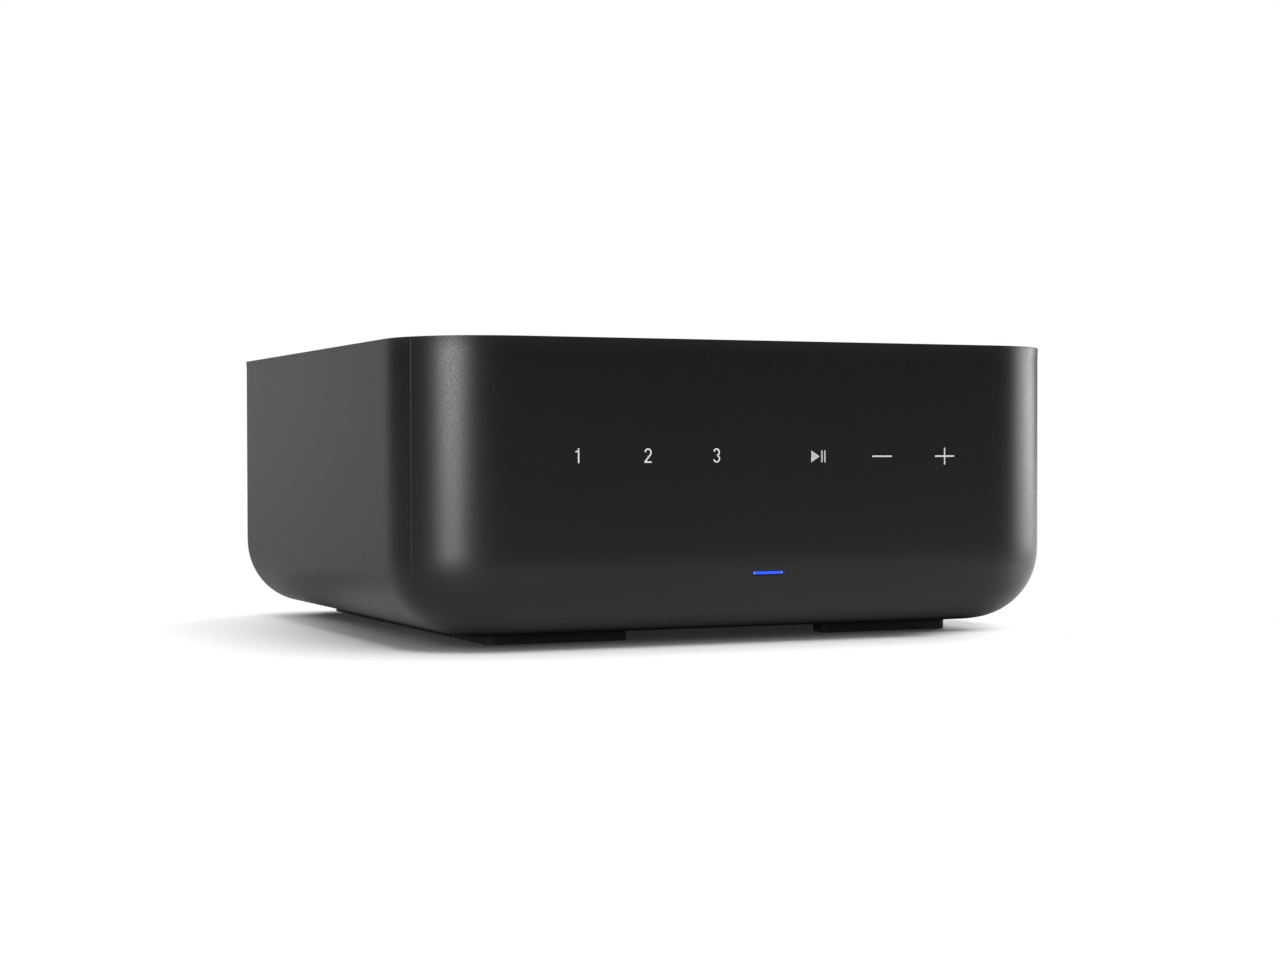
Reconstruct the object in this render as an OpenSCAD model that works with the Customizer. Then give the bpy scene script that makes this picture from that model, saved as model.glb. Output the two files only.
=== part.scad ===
// Compact network music streamer: a moulded cabinet with touch keys behind its front and sockets at its back.
// The origin is the middle of the footprint on the table.
// +X is to the right of the front, +Y to the back, +Z up.

/* [Cabinet] */
// Width of the cabinet
cabinet_w = 150; // [144:0.5:180]
// Depth of the cabinet without its sockets
cabinet_d = 137.4; // [128:0.2:170]
// Height of the cabinet from its underside to its rim
cabinet_h = 59.7; // [56:0.1:80]
// Thickness of the moulded wall
wall = 2.5; // [2:0.1:3]
// Radius of the two upright front corners
corner_r = 20.9; // [18:0.1:25]
// Radius of the bottom edge
base_r = 15.7; // [12:0.1:16.5]

/* [Top cover] */
// Thickness of the top cover
cover_t = 2.5; // [2:0.1:4]
// How far the cover stands above the rim
cover_proud = 0.05; // [0:0.05:0.6]
// Thickness of the rim left round the cover
rim_t = 1.2; // [0.8:0.1:1.6]
// Length of the screw bosses under the cover
cover_boss_l = 8; // [6:0.5:12]

/* [Rear panel] */
// Thickness of the rear panel
panel_t = 1.6; // [1.2:0.1:2.5]
// How far the panel sits inside the back edge
panel_recess = 1.5; // [0.5:0.1:3]
// Width of the ledge that the panel rests on
ledge_w = 2.5; // [1.5:0.1:4]
// Thickness of that ledge
ledge_t = 2.5; // [1.5:0.1:4]
// Distance of the panel screws from the side walls
panel_screw_inset = 5; // [4:0.1:6]
// Height of the lower panel screws above the underside
panel_screw_low = 13; // [11:0.5:16]
// Distance of the upper panel screws below the rim
panel_screw_high = 9; // [7:0.5:14]
// Length of the panel screw bosses
panel_boss_l = 9; // [7:0.5:12]

/* [Feet] */
// Height of the rubber feet
foot_h = 2.4; // [1.5:0.1:5]
// Width of one foot, over its rail and its legs
foot_w = 31.15; // [24:0.05:34]
// Gap between the legs of the two feet
foot_gap = 46.3; // [36:0.1:50]
// Distance of the pair of feet to the right of the middle
foot_shift = 0.45; // [-2:0.05:2]
// Width of the rail along the outer side of a foot
foot_rail = 11.4; // [10:0.1:14]
// Depth of the legs at the front and the back of a foot
foot_leg = 5.7; // [5:0.1:9]
// Radius of the rail's corners
foot_corner_r = 2.2; // [1.5:0.1:5]
// Radius of the corners at the legs' inner ends
foot_end_r = 1.3; // [0.5:0.1:2.4]
// Distance of the feet behind the front face
foot_front_inset = 20.2; // [17:0.1:28]
// Distance of the feet from the back edge
foot_rear_inset = 3.5; // [2:0.5:20]

/* [Screw towers] */
// Radius of the towers that the cover screws pass through
tower_r = 4; // [3.8:0.1:4.5]
// Distance of the front towers behind the front face
tower_front_inset = 34; // [30:0.5:38]
// Distance of the rear towers from the back edge
tower_rear_inset = 39; // [36:0.5:42]
// Distance of the towers from the outer edge of the feet
tower_edge = 5.6; // [4:0.1:7]
// Thickness of the web that the screw head presses on
tower_web = 3; // [2:0.1:4]

/* [Screws] */
// Radius of the screw shanks
screw_r = 1.5; // [1.2:0.05:1.6]
// Radius of the screw heads
head_r = 2.7; // [2.4:0.1:2.9]
// Height of the screw heads
head_h = 1.4; // [1:0.1:1.5]
// Length of thread in a cover boss
cover_thread = 6; // [4:0.5:7]
// Length of thread in the other bosses
short_thread = 4; // [3:0.5:5]
// Radius of the driver recess in a screw head
drive_r = 1.1; // [0.8:0.1:1.4]
// Depth of the driver recess
drive_d = 0.8; // [0.5:0.1:0.9]

/* [Main board] */
// Thickness of the main board
board_t = 1.6; // [1.2:0.1:2]
// Height of the posts under the main board
post_h = 6; // [5.5:0.1:8]
// Radius of the posts under the main board
post_r = 3; // [2.8:0.1:3.5]
// Gap between the board's long edges and the side walls
board_side_gap = 10.5; // [8:0.5:11]
// Gap between the board and the rear panel
board_rear_gap = 1; // [0.5:0.1:2]
// Distance of the board screws from the side edges
board_screw_inset = 4.5; // [4:0.1:5]
// Distance of the front board screws from the front edge
board_screw_front = 6; // [5:0.5:7]
// Distance of the rear board screws from the rear edge
board_screw_rear = 21; // [20:0.5:24]

/* [Touch keys] */
// Distance between neighbouring keys
key_pitch = 15.2; // [12:0.1:16]
// Distance of the inner keys from the middle
key_first = 11.6; // [9:0.1:14]
// Number of keys on each side of the middle
key_count = 3; // [2:1:3]
// Height of the keys above the underside
key_height = 36; // [33:0.5:44]
// Radius of the conductive foam pads behind the keys
pad_r = 4.5; // [3:0.1:5.5]
// Thickness of the pads
pad_t = 2.4; // [2.2:0.1:3.5]
// Thickness of the touch board
touch_board_t = 1.2; // [0.8:0.1:1.6]
// How far the touch board reaches past the outer keys
touch_board_side = 13; // [12:0.5:14]
// How far the touch board reaches above the keys
touch_board_up = 12; // [10:0.5:14]
// How far its screws stand in from its edges
touch_screw_inset = 4; // [3.6:0.1:4.5]
// Height of the lower touch board screws below the keys
touch_screw_drop = 12; // [10:0.5:14]

/* [Status light] */
// Width of the light bar
light_w = 7.05; // [4:0.05:12]
// Height of the light bar
light_h = 0.75; // [0.5:0.05:1.5]
// Height of the light bar above the underside
light_height = 12.05; // [11.5:0.05:15]
// How far the bar's flange stands out round it
light_flange = 0.6; // [0.4:0.05:0.8]
// Thickness of that flange
light_flange_t = 0.5; // [0.4:0.05:0.6]
// Thickness of the lamp behind the bar
lamp_t = 0.8; // [0.6:0.05:0.9]
// Width of the lamp
lamp_w = 3; // [2:0.1:5]
// Height of the lamp
lamp_h = 1.4; // [1:0.1:2]

/* [Ribbon cable] */
// Width of the ribbon cable
ribbon_w = 12; // [6:0.5:20]
// Thickness of the ribbon cable
ribbon_t = 0.3; // [0.2:0.05:0.5]
// Bend radius of the ribbon cable
ribbon_bend_r = 6; // [4:0.5:8]
// Width of the ribbon sockets past the ribbon
ribbon_socket_side = 1.5; // [1:0.1:3]
// Depth of the ribbon sockets
ribbon_socket_l = 5; // [4:0.1:6]
// Height of the ribbon sockets
ribbon_socket_h = 2.6; // [2:0.1:3.5]

/* [Network module] */
// Width of the network module
module_w = 44; // [36:0.5:50]
// Depth of the network module
module_d = 34; // [30:0.5:36]
// Thickness of the network module's board
module_t = 1; // [0.8:0.1:1.6]
// Distance of the module behind the board's front edge
module_front = 12; // [11:0.5:15]
// Height of the header strips under the module
header_h = 3; // [2:0.1:5]
// Width of the header strips
header_w = 3; // [2:0.1:5]
// Width and depth of the shield can
shield_s = 26; // [20:0.5:28]
// Height of the shield can
shield_h = 2.4; // [1.5:0.1:4]
// Thickness of the shield can's sheet
shield_t = 0.3; // [0.2:0.05:0.5]
// Width and depth of the heat sink
sink_s = 24; // [18:0.5:26]
// Thickness of the heat sink's base
sink_base = 2; // [1.5:0.1:3]
// Height of the heat sink's fins
sink_fin_h = 6; // [3:0.5:8]
// Thickness of the fins
sink_fin_t = 1; // [0.8:0.1:1.4]
// Number of fins
sink_fins = 7; // [4:1:8]

/* [Aerials] */
// Length of the aerial strips on the side walls
aerial_l = 34; // [24:0.5:40]
// Height of the aerial strips
aerial_h = 9; // [6:0.5:12]
// Thickness of the aerial strips
aerial_t = 0.4; // [0.3:0.05:0.8]
// Height of the aerials' middle above the underside
aerial_height = 36; // [32:0.5:40]
// Radius of the aerial leads
lead_r = 0.5; // [0.4:0.05:0.6]
// Radius of the lead plugs
plug_r = 1.4; // [1.2:0.1:1.8]
// Height of the lead plugs
plug_h = 1.2; // [1.1:0.1:1.6]
// Distance of the lead plugs from the module's edges
plug_inset = 3; // [2.5:0.1:4]

/* [Phono sockets] */
// Length of the phono sleeves outside the panel
phono_l = 9; // [8:0.1:10]
// Outer radius of the phono sleeves
phono_r = 4.15; // [4:0.05:4.3]
// Thickness of the sleeve wall
phono_wall = 0.6; // [0.4:0.05:0.8]
// Radius of the centre contact hole
phono_hole_r = 1.65; // [1.6:0.05:1.8]
// Depth of the centre contact hole
phono_hole_d = 7.5; // [6:0.1:8]
// Radius of the coloured ring round the sleeve
ring_r = 5.2; // [4.8:0.1:5.6]
// How far the coloured ring stands out of the panel
ring_proud = 0.8; // [0.5:0.1:1]
// Distance between neighbouring phono sockets
phono_pitch = 14; // [13.5:0.1:15]
// Depth of the phono socket block
phono_block_d = 11; // [8:0.5:12]

/* [Network socket] */
// Width of the network socket
lan_w = 16.2; // [15:0.1:17]
// Depth of the network socket
lan_d = 18; // [16:0.5:19]
// Height of the network socket
lan_h = 13.6; // [13:0.1:15]
// Width of its opening
lan_mouth_w = 11.9; // [11.5:0.1:12.5]
// Height of its opening
lan_mouth_h = 7.2; // [6.8:0.1:8]
// Depth of its opening
lan_mouth_d = 13; // [11:0.5:14]
// Width of the latch slot under the opening
lan_latch_w = 6.2; // [5:0.1:7]
// Height of the latch slot
lan_latch_h = 1.6; // [1:0.1:2]
// Number of contact blades
lan_contacts = 8; // [4:1:8]
// Distance between neighbouring blades
lan_contact_pitch = 1.02; // [0.9:0.01:1.1]
// Thickness of a blade
lan_contact_t = 0.35; // [0.25:0.01:0.45]
// Length of a blade
lan_contact_l = 7; // [5:0.5:8]
// Drop of a blade at its free end
lan_contact_drop = 1.5; // [1:0.1:2]

/* [Serial socket] */
// Width of the serial bus socket
usb_w = 13.2; // [13:0.1:14]
// Height of the serial bus socket
usb_h = 5.8; // [5.6:0.1:6.2]
// Depth of the serial bus socket
usb_d = 14; // [12:0.5:16]
// Thickness of its sheet
usb_sheet = 0.4; // [0.3:0.05:0.5]
// Width of its tongue
usb_tongue_w = 11.1; // [10:0.1:11.6]
// Thickness of its tongue
usb_tongue_t = 1.8; // [1.5:0.1:2]
// How far the tongue stays behind the mouth
usb_tongue_back = 1.2; // [0.8:0.1:2]
// Gap between the tongue and the sheet above it
usb_tongue_gap = 0.5; // [0.4:0.05:0.8]

/* [Optical socket] */
// Width of the optical socket
optical_w = 10.4; // [10:0.1:11]
// Height of the optical socket
optical_h = 11.4; // [11:0.1:12]
// Depth of the optical socket
optical_d = 14; // [13:0.5:16]
// Width and height of its opening
optical_mouth = 8.4; // [8:0.1:8.6]
// Depth of its opening
optical_mouth_d = 10; // [9.6:0.1:11]
// Thickness of the shutter
shutter_t = 0.9; // [0.7:0.05:1]
// Distance of the shutter behind the mouth
shutter_back = 0.6; // [0.5:0.05:1]
// Radius of the shutter pin
shutter_pin_r = 0.4; // [0.35:0.01:0.45]
// Radius of the shutter's knuckle
knuckle_r = 0.85; // [0.8:0.05:0.9]
// Wire radius of the shutter spring
spring_wire_r = 0.1; // [0.08:0.01:0.12]
// Number of turns of the shutter spring
spring_turns = 4; // [3:1:4]
// Distance between neighbouring turns of the spring
spring_pitch = 0.3; // [0.28:0.01:0.35]
// Radius of the lit window at the end of the opening
emitter_r = 1.2; // [0.8:0.1:2]
// How far the window stands out of the end wall
emitter_l = 0.5; // [0.3:0.1:0.8]

/* [Power inlet] */
// Width of the power inlet
inlet_w = 9.4; // [9:0.1:10]
// Height of the power inlet
inlet_h = 10.6; // [10:0.1:12]
// Depth of the power inlet
inlet_d = 13.5; // [12:0.5:16]
// Radius of its bore
inlet_bore_r = 3.2; // [3:0.05:3.4]
// Depth of its bore
inlet_bore_d = 9.5; // [8:0.5:11]
// Radius of its centre pin
inlet_pin_r = 1; // [0.9:0.05:1.25]
// How far the pin stays behind the mouth
inlet_pin_back = 0.8; // [0.5:0.1:1.5]

/* [Setup button] */
// Radius of the button
button_r = 2.5; // [2:0.1:3]
// How far the button stands out of the panel
button_proud = 1.3; // [0.9:0.1:1.4]
// How far the button travels
button_travel = 0.6; // [0.3:0.05:0.8]
// Radius of the button's collar behind the panel
collar_r = 3.2; // [3.1:0.1:3.4]
// Thickness of the collar
collar_t = 1; // [0.8:0.1:1.5]
// Width and height of the switch behind the button
switch_s = 6.8; // [6.4:0.1:7.4]
// Depth of the switch
switch_d = 4.5; // [4:0.1:6]
// Radius of the switch's plunger
plunger_r = 1.6; // [1.2:0.05:1.8]
// How far the plunger sits inside the switch at rest
plunger_seat = 1; // [0.8:0.1:1.5]

/* [Parts on the main board] */
// Radius of the supply capacitors
supply_cap_r = 4; // [3:0.1:4.5]
// Height of the supply capacitors
supply_cap_h = 11; // [8:0.5:12]
// Radius of the audio capacitors
audio_cap_r = 2.5; // [2:0.1:3]
// Height of the audio capacitors
audio_cap_h = 7; // [5:0.5:9]
// Width and depth of the inductors
inductor_s = 7; // [5:0.1:7.5]
// Height of the inductors
inductor_h = 4.5; // [3:0.1:6]
// Height of the inductors' base plates
inductor_base = 1; // [0.5:0.1:1.5]
// Width and depth of the converter chip
dac_s = 7; // [5:0.1:8]
// Width of the amplifier chips
amp_w = 4; // [3:0.1:5]
// Length of the amplifier chips
amp_l = 5; // [4:0.1:6]
// Height of the chips
chip_h = 1.1; // [0.8:0.1:1.8]
// Length of the crystals
crystal_l = 5; // [3:0.1:6]
// Width of the crystals
crystal_w = 3.2; // [2:0.1:4]
// Height of the crystals
crystal_h = 1.2; // [0.8:0.1:1.5]
// Distance between the parts on the main board
part_gap = 3.5; // [2.5:0.1:4]

/* [Clearances] */
// Gap round covers and panels that drop into place
fit_gap = 0.2; // [0.1:0.05:0.4]
// Gap round screws in their holes
screw_gap = 0.03; // [0.02:0.01:0.1]
// Gap round a pin that turns or slides
running_gap = 0.05; // [0.03:0.01:0.1]
// Gap round sockets in the rear panel
cutout_gap = 0.35; // [0.2:0.05:0.5]
// Gap between moving pieces and their neighbours
moving_gap = 0.3; // [0.2:0.05:0.4]
// Gap round the towers in the main board
tower_gap = 0.8; // [0.4:0.1:1.2]
// Gap between neighbouring sockets on the rear panel
socket_gap = 3; // [2.5:0.1:3.2]
// How far the square sockets stand out of the panel
socket_proud = 0.4; // [0.2:0.1:0.8]
// Gap round the light bar in its slot
light_gap = 0.05; // [0.03:0.01:0.1]
// Gap that keeps a soldered lead clear of what it meets
lead_gap = 0.04; // [0.02:0.01:0.1]

/* [Hidden] */

$fn = 64;
// Overlap that lets joined solids merge and cuts pass right through
bite = 0.5;
// Both sides of the middle plane
sides = [-1, 1];

// Heights
base_z = foot_h;
floor_z = base_z + wall;
rim_z = base_z + cabinet_h;
top_z = rim_z + cover_proud;
seat_z = top_z - cover_t;
board_z = floor_z + post_h;
board_top_z = board_z + board_t;
key_z = base_z + key_height;
light_z = base_z + light_height;

// Depths: the phono sleeves reach past the cabinet, and the whole is centred
total_d = cabinet_d - panel_recess + phono_l;
front_y = -total_d / 2;
back_y = front_y + cabinet_d;
panel_y = back_y - panel_recess;
panel_in_y = panel_y - panel_t;

// Main board
board_w = cabinet_w - 2 * (wall + board_side_gap);
board_front_y = front_y + tower_front_inset + tower_r + tower_gap;
board_rear_y = panel_in_y - board_rear_gap;
board_screw_x = board_w / 2 - board_screw_inset;
board_screw_ys = [board_front_y + board_screw_front, board_rear_y - board_screw_rear];

// Screw towers stand over the rails of the feet, which hide their screws
tower_x = foot_gap / 2 + foot_w - tower_edge;
tower_ys = [front_y + tower_front_inset, back_y - tower_rear_inset];
tower_top_z = seat_z - cover_boss_l;

// Panel screws
panel_screw_x = cabinet_w / 2 - wall - panel_screw_inset;
panel_screw_zs = [base_z + panel_screw_low, rim_z - panel_screw_high];
panel_boss_r = screw_r + wall / 2 + bite;

// Touch board stands on the pads behind the front wall
touch_y = front_y + wall + pad_t;
touch_back_y = touch_y + touch_board_t;
key_last = key_first + (key_count - 1) * key_pitch;
touch_w = 2 * (key_last + touch_board_side);
touch_top_z = key_z + touch_board_up;
touch_bottom_z = light_z - lamp_h - bite;
touch_screw_x = touch_w / 2 - touch_screw_inset;
touch_screw_zs = [key_z - touch_screw_drop, touch_top_z - touch_screw_inset];

// Ribbon cable: out of the touch board, down a double bend and along to the main board
ribbon_low_z = board_top_z + ribbon_socket_h / 2;
ribbon_high_z = ribbon_low_z + 2 * ribbon_bend_r;
ribbon_start_y = touch_back_y + ribbon_socket_l;
ribbon_end_y = board_front_y + part_gap;
ribbon_mid_y = (ribbon_start_y + ribbon_end_y) / 2;

// Network module
module_y = board_front_y + module_front + module_d / 2;
module_z = board_top_z + header_h;
module_top_z = module_z + module_t;
shield_z = module_top_z + shield_h;
plug_x = module_w / 2 - plug_inset;
plug_y = module_y + module_d / 2 - plug_inset;

// Aerials on the inner faces of the side walls
aerial_x = cabinet_w / 2 - wall - aerial_t;
aerial_y = module_y;
aerial_z = base_z + aerial_height;

// Sockets stand in one row, centred on the panel, from the phono block on the left to the power inlet
phono_w = 2 * phono_pitch;
row_widths = [phono_w, phono_pitch, optical_w, usb_w, lan_w, switch_s, inlet_w];
function sum_to(list, n) = n == 0 ? 0 : list[n - 1] + sum_to(list, n - 1);
row_w = sum_to(row_widths, len(row_widths)) + (len(row_widths) - 1) * socket_gap;
function row_x(n) = -row_w / 2 + sum_to(row_widths, n) + n * socket_gap + row_widths[n] / 2;
phono_x = row_x(0);
digital_x = row_x(1);
optical_x = row_x(2);
usb_x = row_x(3);
lan_x = row_x(4);
button_x = row_x(5);
inlet_x = row_x(6);
phono_low_z = board_top_z + phono_pitch / 2;
phono_high_z = phono_low_z + phono_pitch;
socket_y = panel_y + socket_proud;
inlet_z = board_top_z + inlet_h / 2;
button_z = board_top_z + switch_s / 2;
lan_mouth_z = board_top_z + (lan_h - lan_mouth_h - lan_latch_h) / 2 + lan_latch_h;
// Place, width, depth and height of the sockets with square holes in the panel
board_sockets = [
    [optical_x, optical_w, optical_d, optical_h],
    [usb_x, usb_w, usb_d, usb_h],
    [lan_x, lan_w, lan_d, lan_h],
    [inlet_x, inlet_w, inlet_d, inlet_h]
];
// Place, width and height of the phono blocks
phono_blocks = [[phono_x, phono_w, 2 * phono_pitch], [digital_x, phono_pitch, phono_pitch]];

// Phono sockets: left channels above right ones, then the single digital socket
left_channel_places = [[phono_x - phono_pitch / 2, phono_high_z], [phono_x + phono_pitch / 2, phono_high_z]];
right_channel_places = [[phono_x - phono_pitch / 2, phono_low_z], [phono_x + phono_pitch / 2, phono_low_z]];
digital_places = [[digital_x, phono_low_z]];
phono_places = concat(left_channel_places, right_channel_places, digital_places);
phono_end_y = panel_y + phono_l;
ring_y = panel_y + ring_proud;
phono_core_r = phono_r - phono_wall - running_gap;
phono_core_y = phono_end_y - phono_wall;
phono_screw_z = (phono_low_z + phono_high_z) / 2;

// Optical socket: the shutter hangs from a pin across the top of the mouth
optical_top_z = board_top_z + (optical_h + optical_mouth) / 2;
optical_low_z = optical_top_z - optical_mouth;
pin_z = optical_top_z - knuckle_r - moving_gap;
pin_y = socket_y - shutter_back - knuckle_r;
shutter_w = optical_mouth - 2 * moving_gap;
knuckle_w = shutter_w / 2;
pin_l = (optical_w + optical_mouth) / 2;
spring_r = shutter_pin_r + running_gap + 2 * spring_wire_r;

// Setup button
collar_y = panel_in_y - moving_gap;
collar_back_y = collar_y - collar_t;
switch_y = collar_back_y - button_travel - moving_gap;

// Parts on the main board
supply_cap_x = module_w / 2 + part_gap + supply_cap_r;
supply_cap_y = board_front_y + module_front + supply_cap_r;
inductor_x = supply_cap_x + 3 * supply_cap_r + part_gap + inductor_s / 2;
dac_x = -(module_w / 2 + part_gap + dac_s / 2);
dac_y = board_front_y + module_front + dac_s / 2;
amp_x = dac_x - dac_s / 2 - part_gap - amp_w / 2;
audio_cap_x = dac_x;
audio_cap_y = dac_y + dac_s / 2 + 2 * (part_gap + crystal_w) + part_gap + audio_cap_r;

// Routes of the right-hand aerial lead, out of the plug and into the aerial, relative to these
lead_from_plug = [[0, 0, 0], [2, 0, 0], [4, 0, 0], [9, 1, 1.5], [15, 2, 4]];
lead_to_aerial = [[-22, 9, -18], [-14, 8, -12], [-8, 5, -5], [-4, 2, -1], [-2, 2, 0], [-1, 2, 0], [0, 2, 0]];
// Sides of a lead's tube, and rings between two of its points
lead_sides = 8;
lead_steps = 4;
// Sides of the spring's wire, and rings in one of its turns
spring_sides = 6;
spring_rings = 12;

// Smooth curve through four neighbouring points, at the share t between the middle two
function curve_at(a, b, c, d, t) =
    b + t * (c - a) / 2 + t * t * (2 * a - 5 * b + 4 * c - d) / 2 + t * t * t * (3 * b - a - 3 * c + d) / 2;
function curve(p, steps) = [
    for (i = [0 : len(p) - 2])
        for (s = [0 : steps - 1])
            curve_at(p[max(i - 1, 0)], p[i], p[i + 1], p[min(i + 2, len(p) - 1)], s / steps),
    p[len(p) - 1]
];
function unit(v) = v / norm(v);
function heading(path, i) = unit(path[min(i + 1, len(path) - 1)] - path[max(i - 1, 0)]);

// Round tube swept along a path of points, closed at both ends
module tube(path, r, n, up = [0, 0, 1]) {
    rings = len(path);
    points = [
        for (i = [0 : rings - 1])
            let (ahead = heading(path, i), across = unit(cross(ahead, up)), above = cross(across, ahead))
                for (k = [0 : n - 1])
                    path[i] + r * (cos(360 * k / n) * across + sin(360 * k / n) * above)
    ];
    walls = [
        for (i = [0 : rings - 2])
            for (k = [0 : n - 1])
                let (a = i * n + k, b = i * n + (k + 1) % n)
                    each [[a, b, a + n], [b, b + n, a + n]]
    ];
    near = [for (k = [1 : n - 2]) [0, k + 1, k]];
    far_start = (rings - 1) * n;
    far = [for (k = [1 : n - 2]) [far_start, far_start + k, far_start + k + 1]];
    polyhedron(points, concat(walls, near, far));
}

// Cylinder along +Y that starts at y
module rod(x, y, z, r, l) {
    translate([x, y, z]) rotate([-90, 0, 0]) cylinder(r = r, h = l);
}

// Box centred on x that starts at y and z
module block(x, y, z, w, d, h) {
    translate([x - w / 2, y, z]) cube([w, d, h]);
}

// Rectangle with its lower outer corner rounded
module toe(w, h, r) {
    translate([0, r]) square([w, h - r]);
    square([w - r, r]);
    intersection() {
        translate([w - r, r]) circle(r);
        translate([w - r, 0]) square(r);
    }
}

// Section across the cabinet: two toes back to back
module section(w, h, r) {
    toe(w / 2, h, r);
    mirror([1, 0]) toe(w / 2, h, r);
}

// Box with rounded front corners and a rounding along the bottom of its front and sides, cut flat at the back
module rounded_body(w, d, h, rc, rb) {
    translate([0, d, 0]) rotate([90, 0, 0]) linear_extrude(d - rc) section(w, h, rb);
    translate([w / 2 - rc, rc, 0]) rotate([90, 0, -90]) linear_extrude(w - 2 * rc) toe(rc, h, rb);
    for (side = [0, 1])
        mirror([side, 0, 0])
            translate([w / 2 - rc, rc, 0]) rotate([0, 0, -90]) rotate_extrude(angle = 90) toe(rc, h, rb);
}

// Plan of the cabinet drawn in by an inset, with its back left long
module plan(inset, d) {
    rc = corner_r - inset;
    w = cabinet_w - 2 * inset;
    translate([-w / 2, rc]) square([w, d - rc]);
    translate([-w / 2 + rc, 0]) square([w - 2 * rc, rc]);
    for (side = sides)
        translate([side * (w / 2 - rc), rc]) circle(rc);
}

// Rectangle from the origin with rounded corners
module pad(w, d, r) {
    translate([r, 0]) square([w - 2 * r, d]);
    translate([0, r]) square([w, d - 2 * r]);
    for (x = [r, w - r], y = [r, d - r])
        translate([x, y]) circle(r);
}

// Outer form of the cabinet
module cabinet_form() {
    translate([0, front_y, base_z]) rounded_body(cabinet_w, cabinet_d, cabinet_h, corner_r, base_r);
}

// Pan-head screw with its head's seat at the origin and its shank along -Z
module screw(l) {
    difference() {
        union() {
            cylinder(r = head_r, h = head_h);
            translate([0, 0, -l]) cylinder(r = screw_r, h = l + bite);
        }
        translate([0, 0, head_h - drive_d]) cylinder(r = drive_r, h = drive_d + bite, $fn = 6);
    }
}

// Hole for a screw shank along -Z from the origin
module screw_hole(l) {
    translate([0, 0, -l - bite]) cylinder(r = screw_r + screw_gap, h = l + 2 * bite);
}

// Places of the screws
module at_towers() {
    for (side = sides, y = tower_ys)
        translate([side * tower_x, y, 0]) children();
}

module at_board_screws() {
    for (side = sides, y = board_screw_ys)
        translate([side * board_screw_x, y, 0]) children();
}

module at_panel_screws() {
    for (side = sides, z = panel_screw_zs)
        translate([side * panel_screw_x, 0, z]) children();
}

module at_touch_screws() {
    for (side = sides, z = touch_screw_zs)
        translate([side * touch_screw_x, 0, z]) children();
}

module at_keys() {
    for (side = sides, k = [0 : key_count - 1])
        translate([side * (key_first + k * key_pitch), 0, key_z]) children();
}

module at_phonos(places) {
    for (p = places)
        translate([p[0], 0, p[1]]) children();
}

// Moulded front, sides and bottom, with the hollow, the cover's seat and the light's slot cut out
module cabinet_wall() {
    difference() {
        cabinet_form();
        translate([0, front_y + wall, floor_z])
            rounded_body(cabinet_w - 2 * wall, cabinet_d, cabinet_h, corner_r - wall, base_r - wall);
        translate([0, front_y + rim_t, seat_z])
            linear_extrude(cover_t + bite) plan(rim_t, cabinet_d);
        light_bar(light_gap, front_y - bite, wall + base_r);
    }
}

// Ledge and bosses that the rear panel is screwed to
module panel_seat() {
    seat_h = seat_z - floor_z - fit_gap;
    translate([0, panel_in_y, floor_z]) rotate([90, 0, 0]) linear_extrude(ledge_t) difference() {
        translate([0, -wall / 2]) section(cabinet_w - wall, seat_h + wall / 2, base_r - wall / 2);
        translate([0, ledge_w])
            section(cabinet_w - 2 * (wall + ledge_w), seat_h, base_r - wall - ledge_w);
    }
    for (side = sides, z = panel_screw_zs) {
        rod(side * panel_screw_x, panel_in_y - panel_boss_l, z, panel_boss_r, panel_boss_l);
        block(
            side * (panel_screw_x + panel_screw_inset / 2 + wall / 4), panel_in_y - panel_boss_l,
            z - panel_boss_r / 2, panel_screw_inset + wall / 2, panel_boss_l, panel_boss_r
        );
    }
}

module cabinet_shell() {
    color("#242426") difference() {
        union() {
            cabinet_wall();
            panel_seat();
            at_towers() translate([0, 0, floor_z - wall / 2])
                cylinder(r = tower_r, h = tower_top_z - floor_z + wall / 2);
            at_board_screws() translate([0, 0, floor_z - wall / 2])
                cylinder(r = post_r, h = post_h + wall / 2);
            at_touch_screws() rod(0, front_y + wall / 2, 0, post_r, pad_t + wall / 2);
        }
        at_towers() {
            translate([0, 0, base_z - bite])
                cylinder(r = head_r + fit_gap, h = tower_top_z - tower_web - base_z + bite);
            translate([0, 0, tower_top_z]) screw_hole(tower_web);
        }
        at_board_screws() translate([0, 0, board_z]) screw_hole(short_thread);
        at_panel_screws() translate([0, panel_in_y, 0]) rotate([-90, 0, 0]) screw_hole(short_thread);
        at_touch_screws() translate([0, touch_y, 0]) rotate([-90, 0, 0]) screw_hole(pad_t);
        socket_room();
        phono_room();
    }
}

// Lid that drops into the rim, with four bosses that meet the towers
module top_cover() {
    color("#1f1f21") difference() {
        union() {
            inset = rim_t + fit_gap;
            translate([0, front_y + inset, seat_z]) linear_extrude(cover_t) plan(inset, cabinet_d - inset);
            at_towers() translate([0, 0, tower_top_z]) cylinder(r = tower_r, h = cover_boss_l + cover_t / 2);
        }
        at_towers() translate([0, 0, tower_top_z + cover_thread]) screw_hole(cover_thread);
    }
}

module rear_panel() {
    panel_h = seat_z - floor_z - 2 * fit_gap;
    back = panel_in_y - bite;
    through = panel_t + 2 * bite;
    color("#1a1a1b") difference() {
        translate([0, panel_y, floor_z + fit_gap]) rotate([90, 0, 0])
            linear_extrude(panel_t)
                section(cabinet_w - 2 * (wall + fit_gap), panel_h, base_r - wall - fit_gap);
        at_panel_screws() translate([0, panel_y, 0]) rotate([-90, 0, 0]) screw_hole(panel_t);
        at_phonos(phono_places) rod(0, back, 0, ring_r + cutout_gap, through);
        translate([phono_x, panel_y, phono_screw_z]) rotate([-90, 0, 0]) screw_hole(panel_t);
        socket_room();
        rod(button_x, back, button_z, button_r + moving_gap, through);
    }
}

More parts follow.
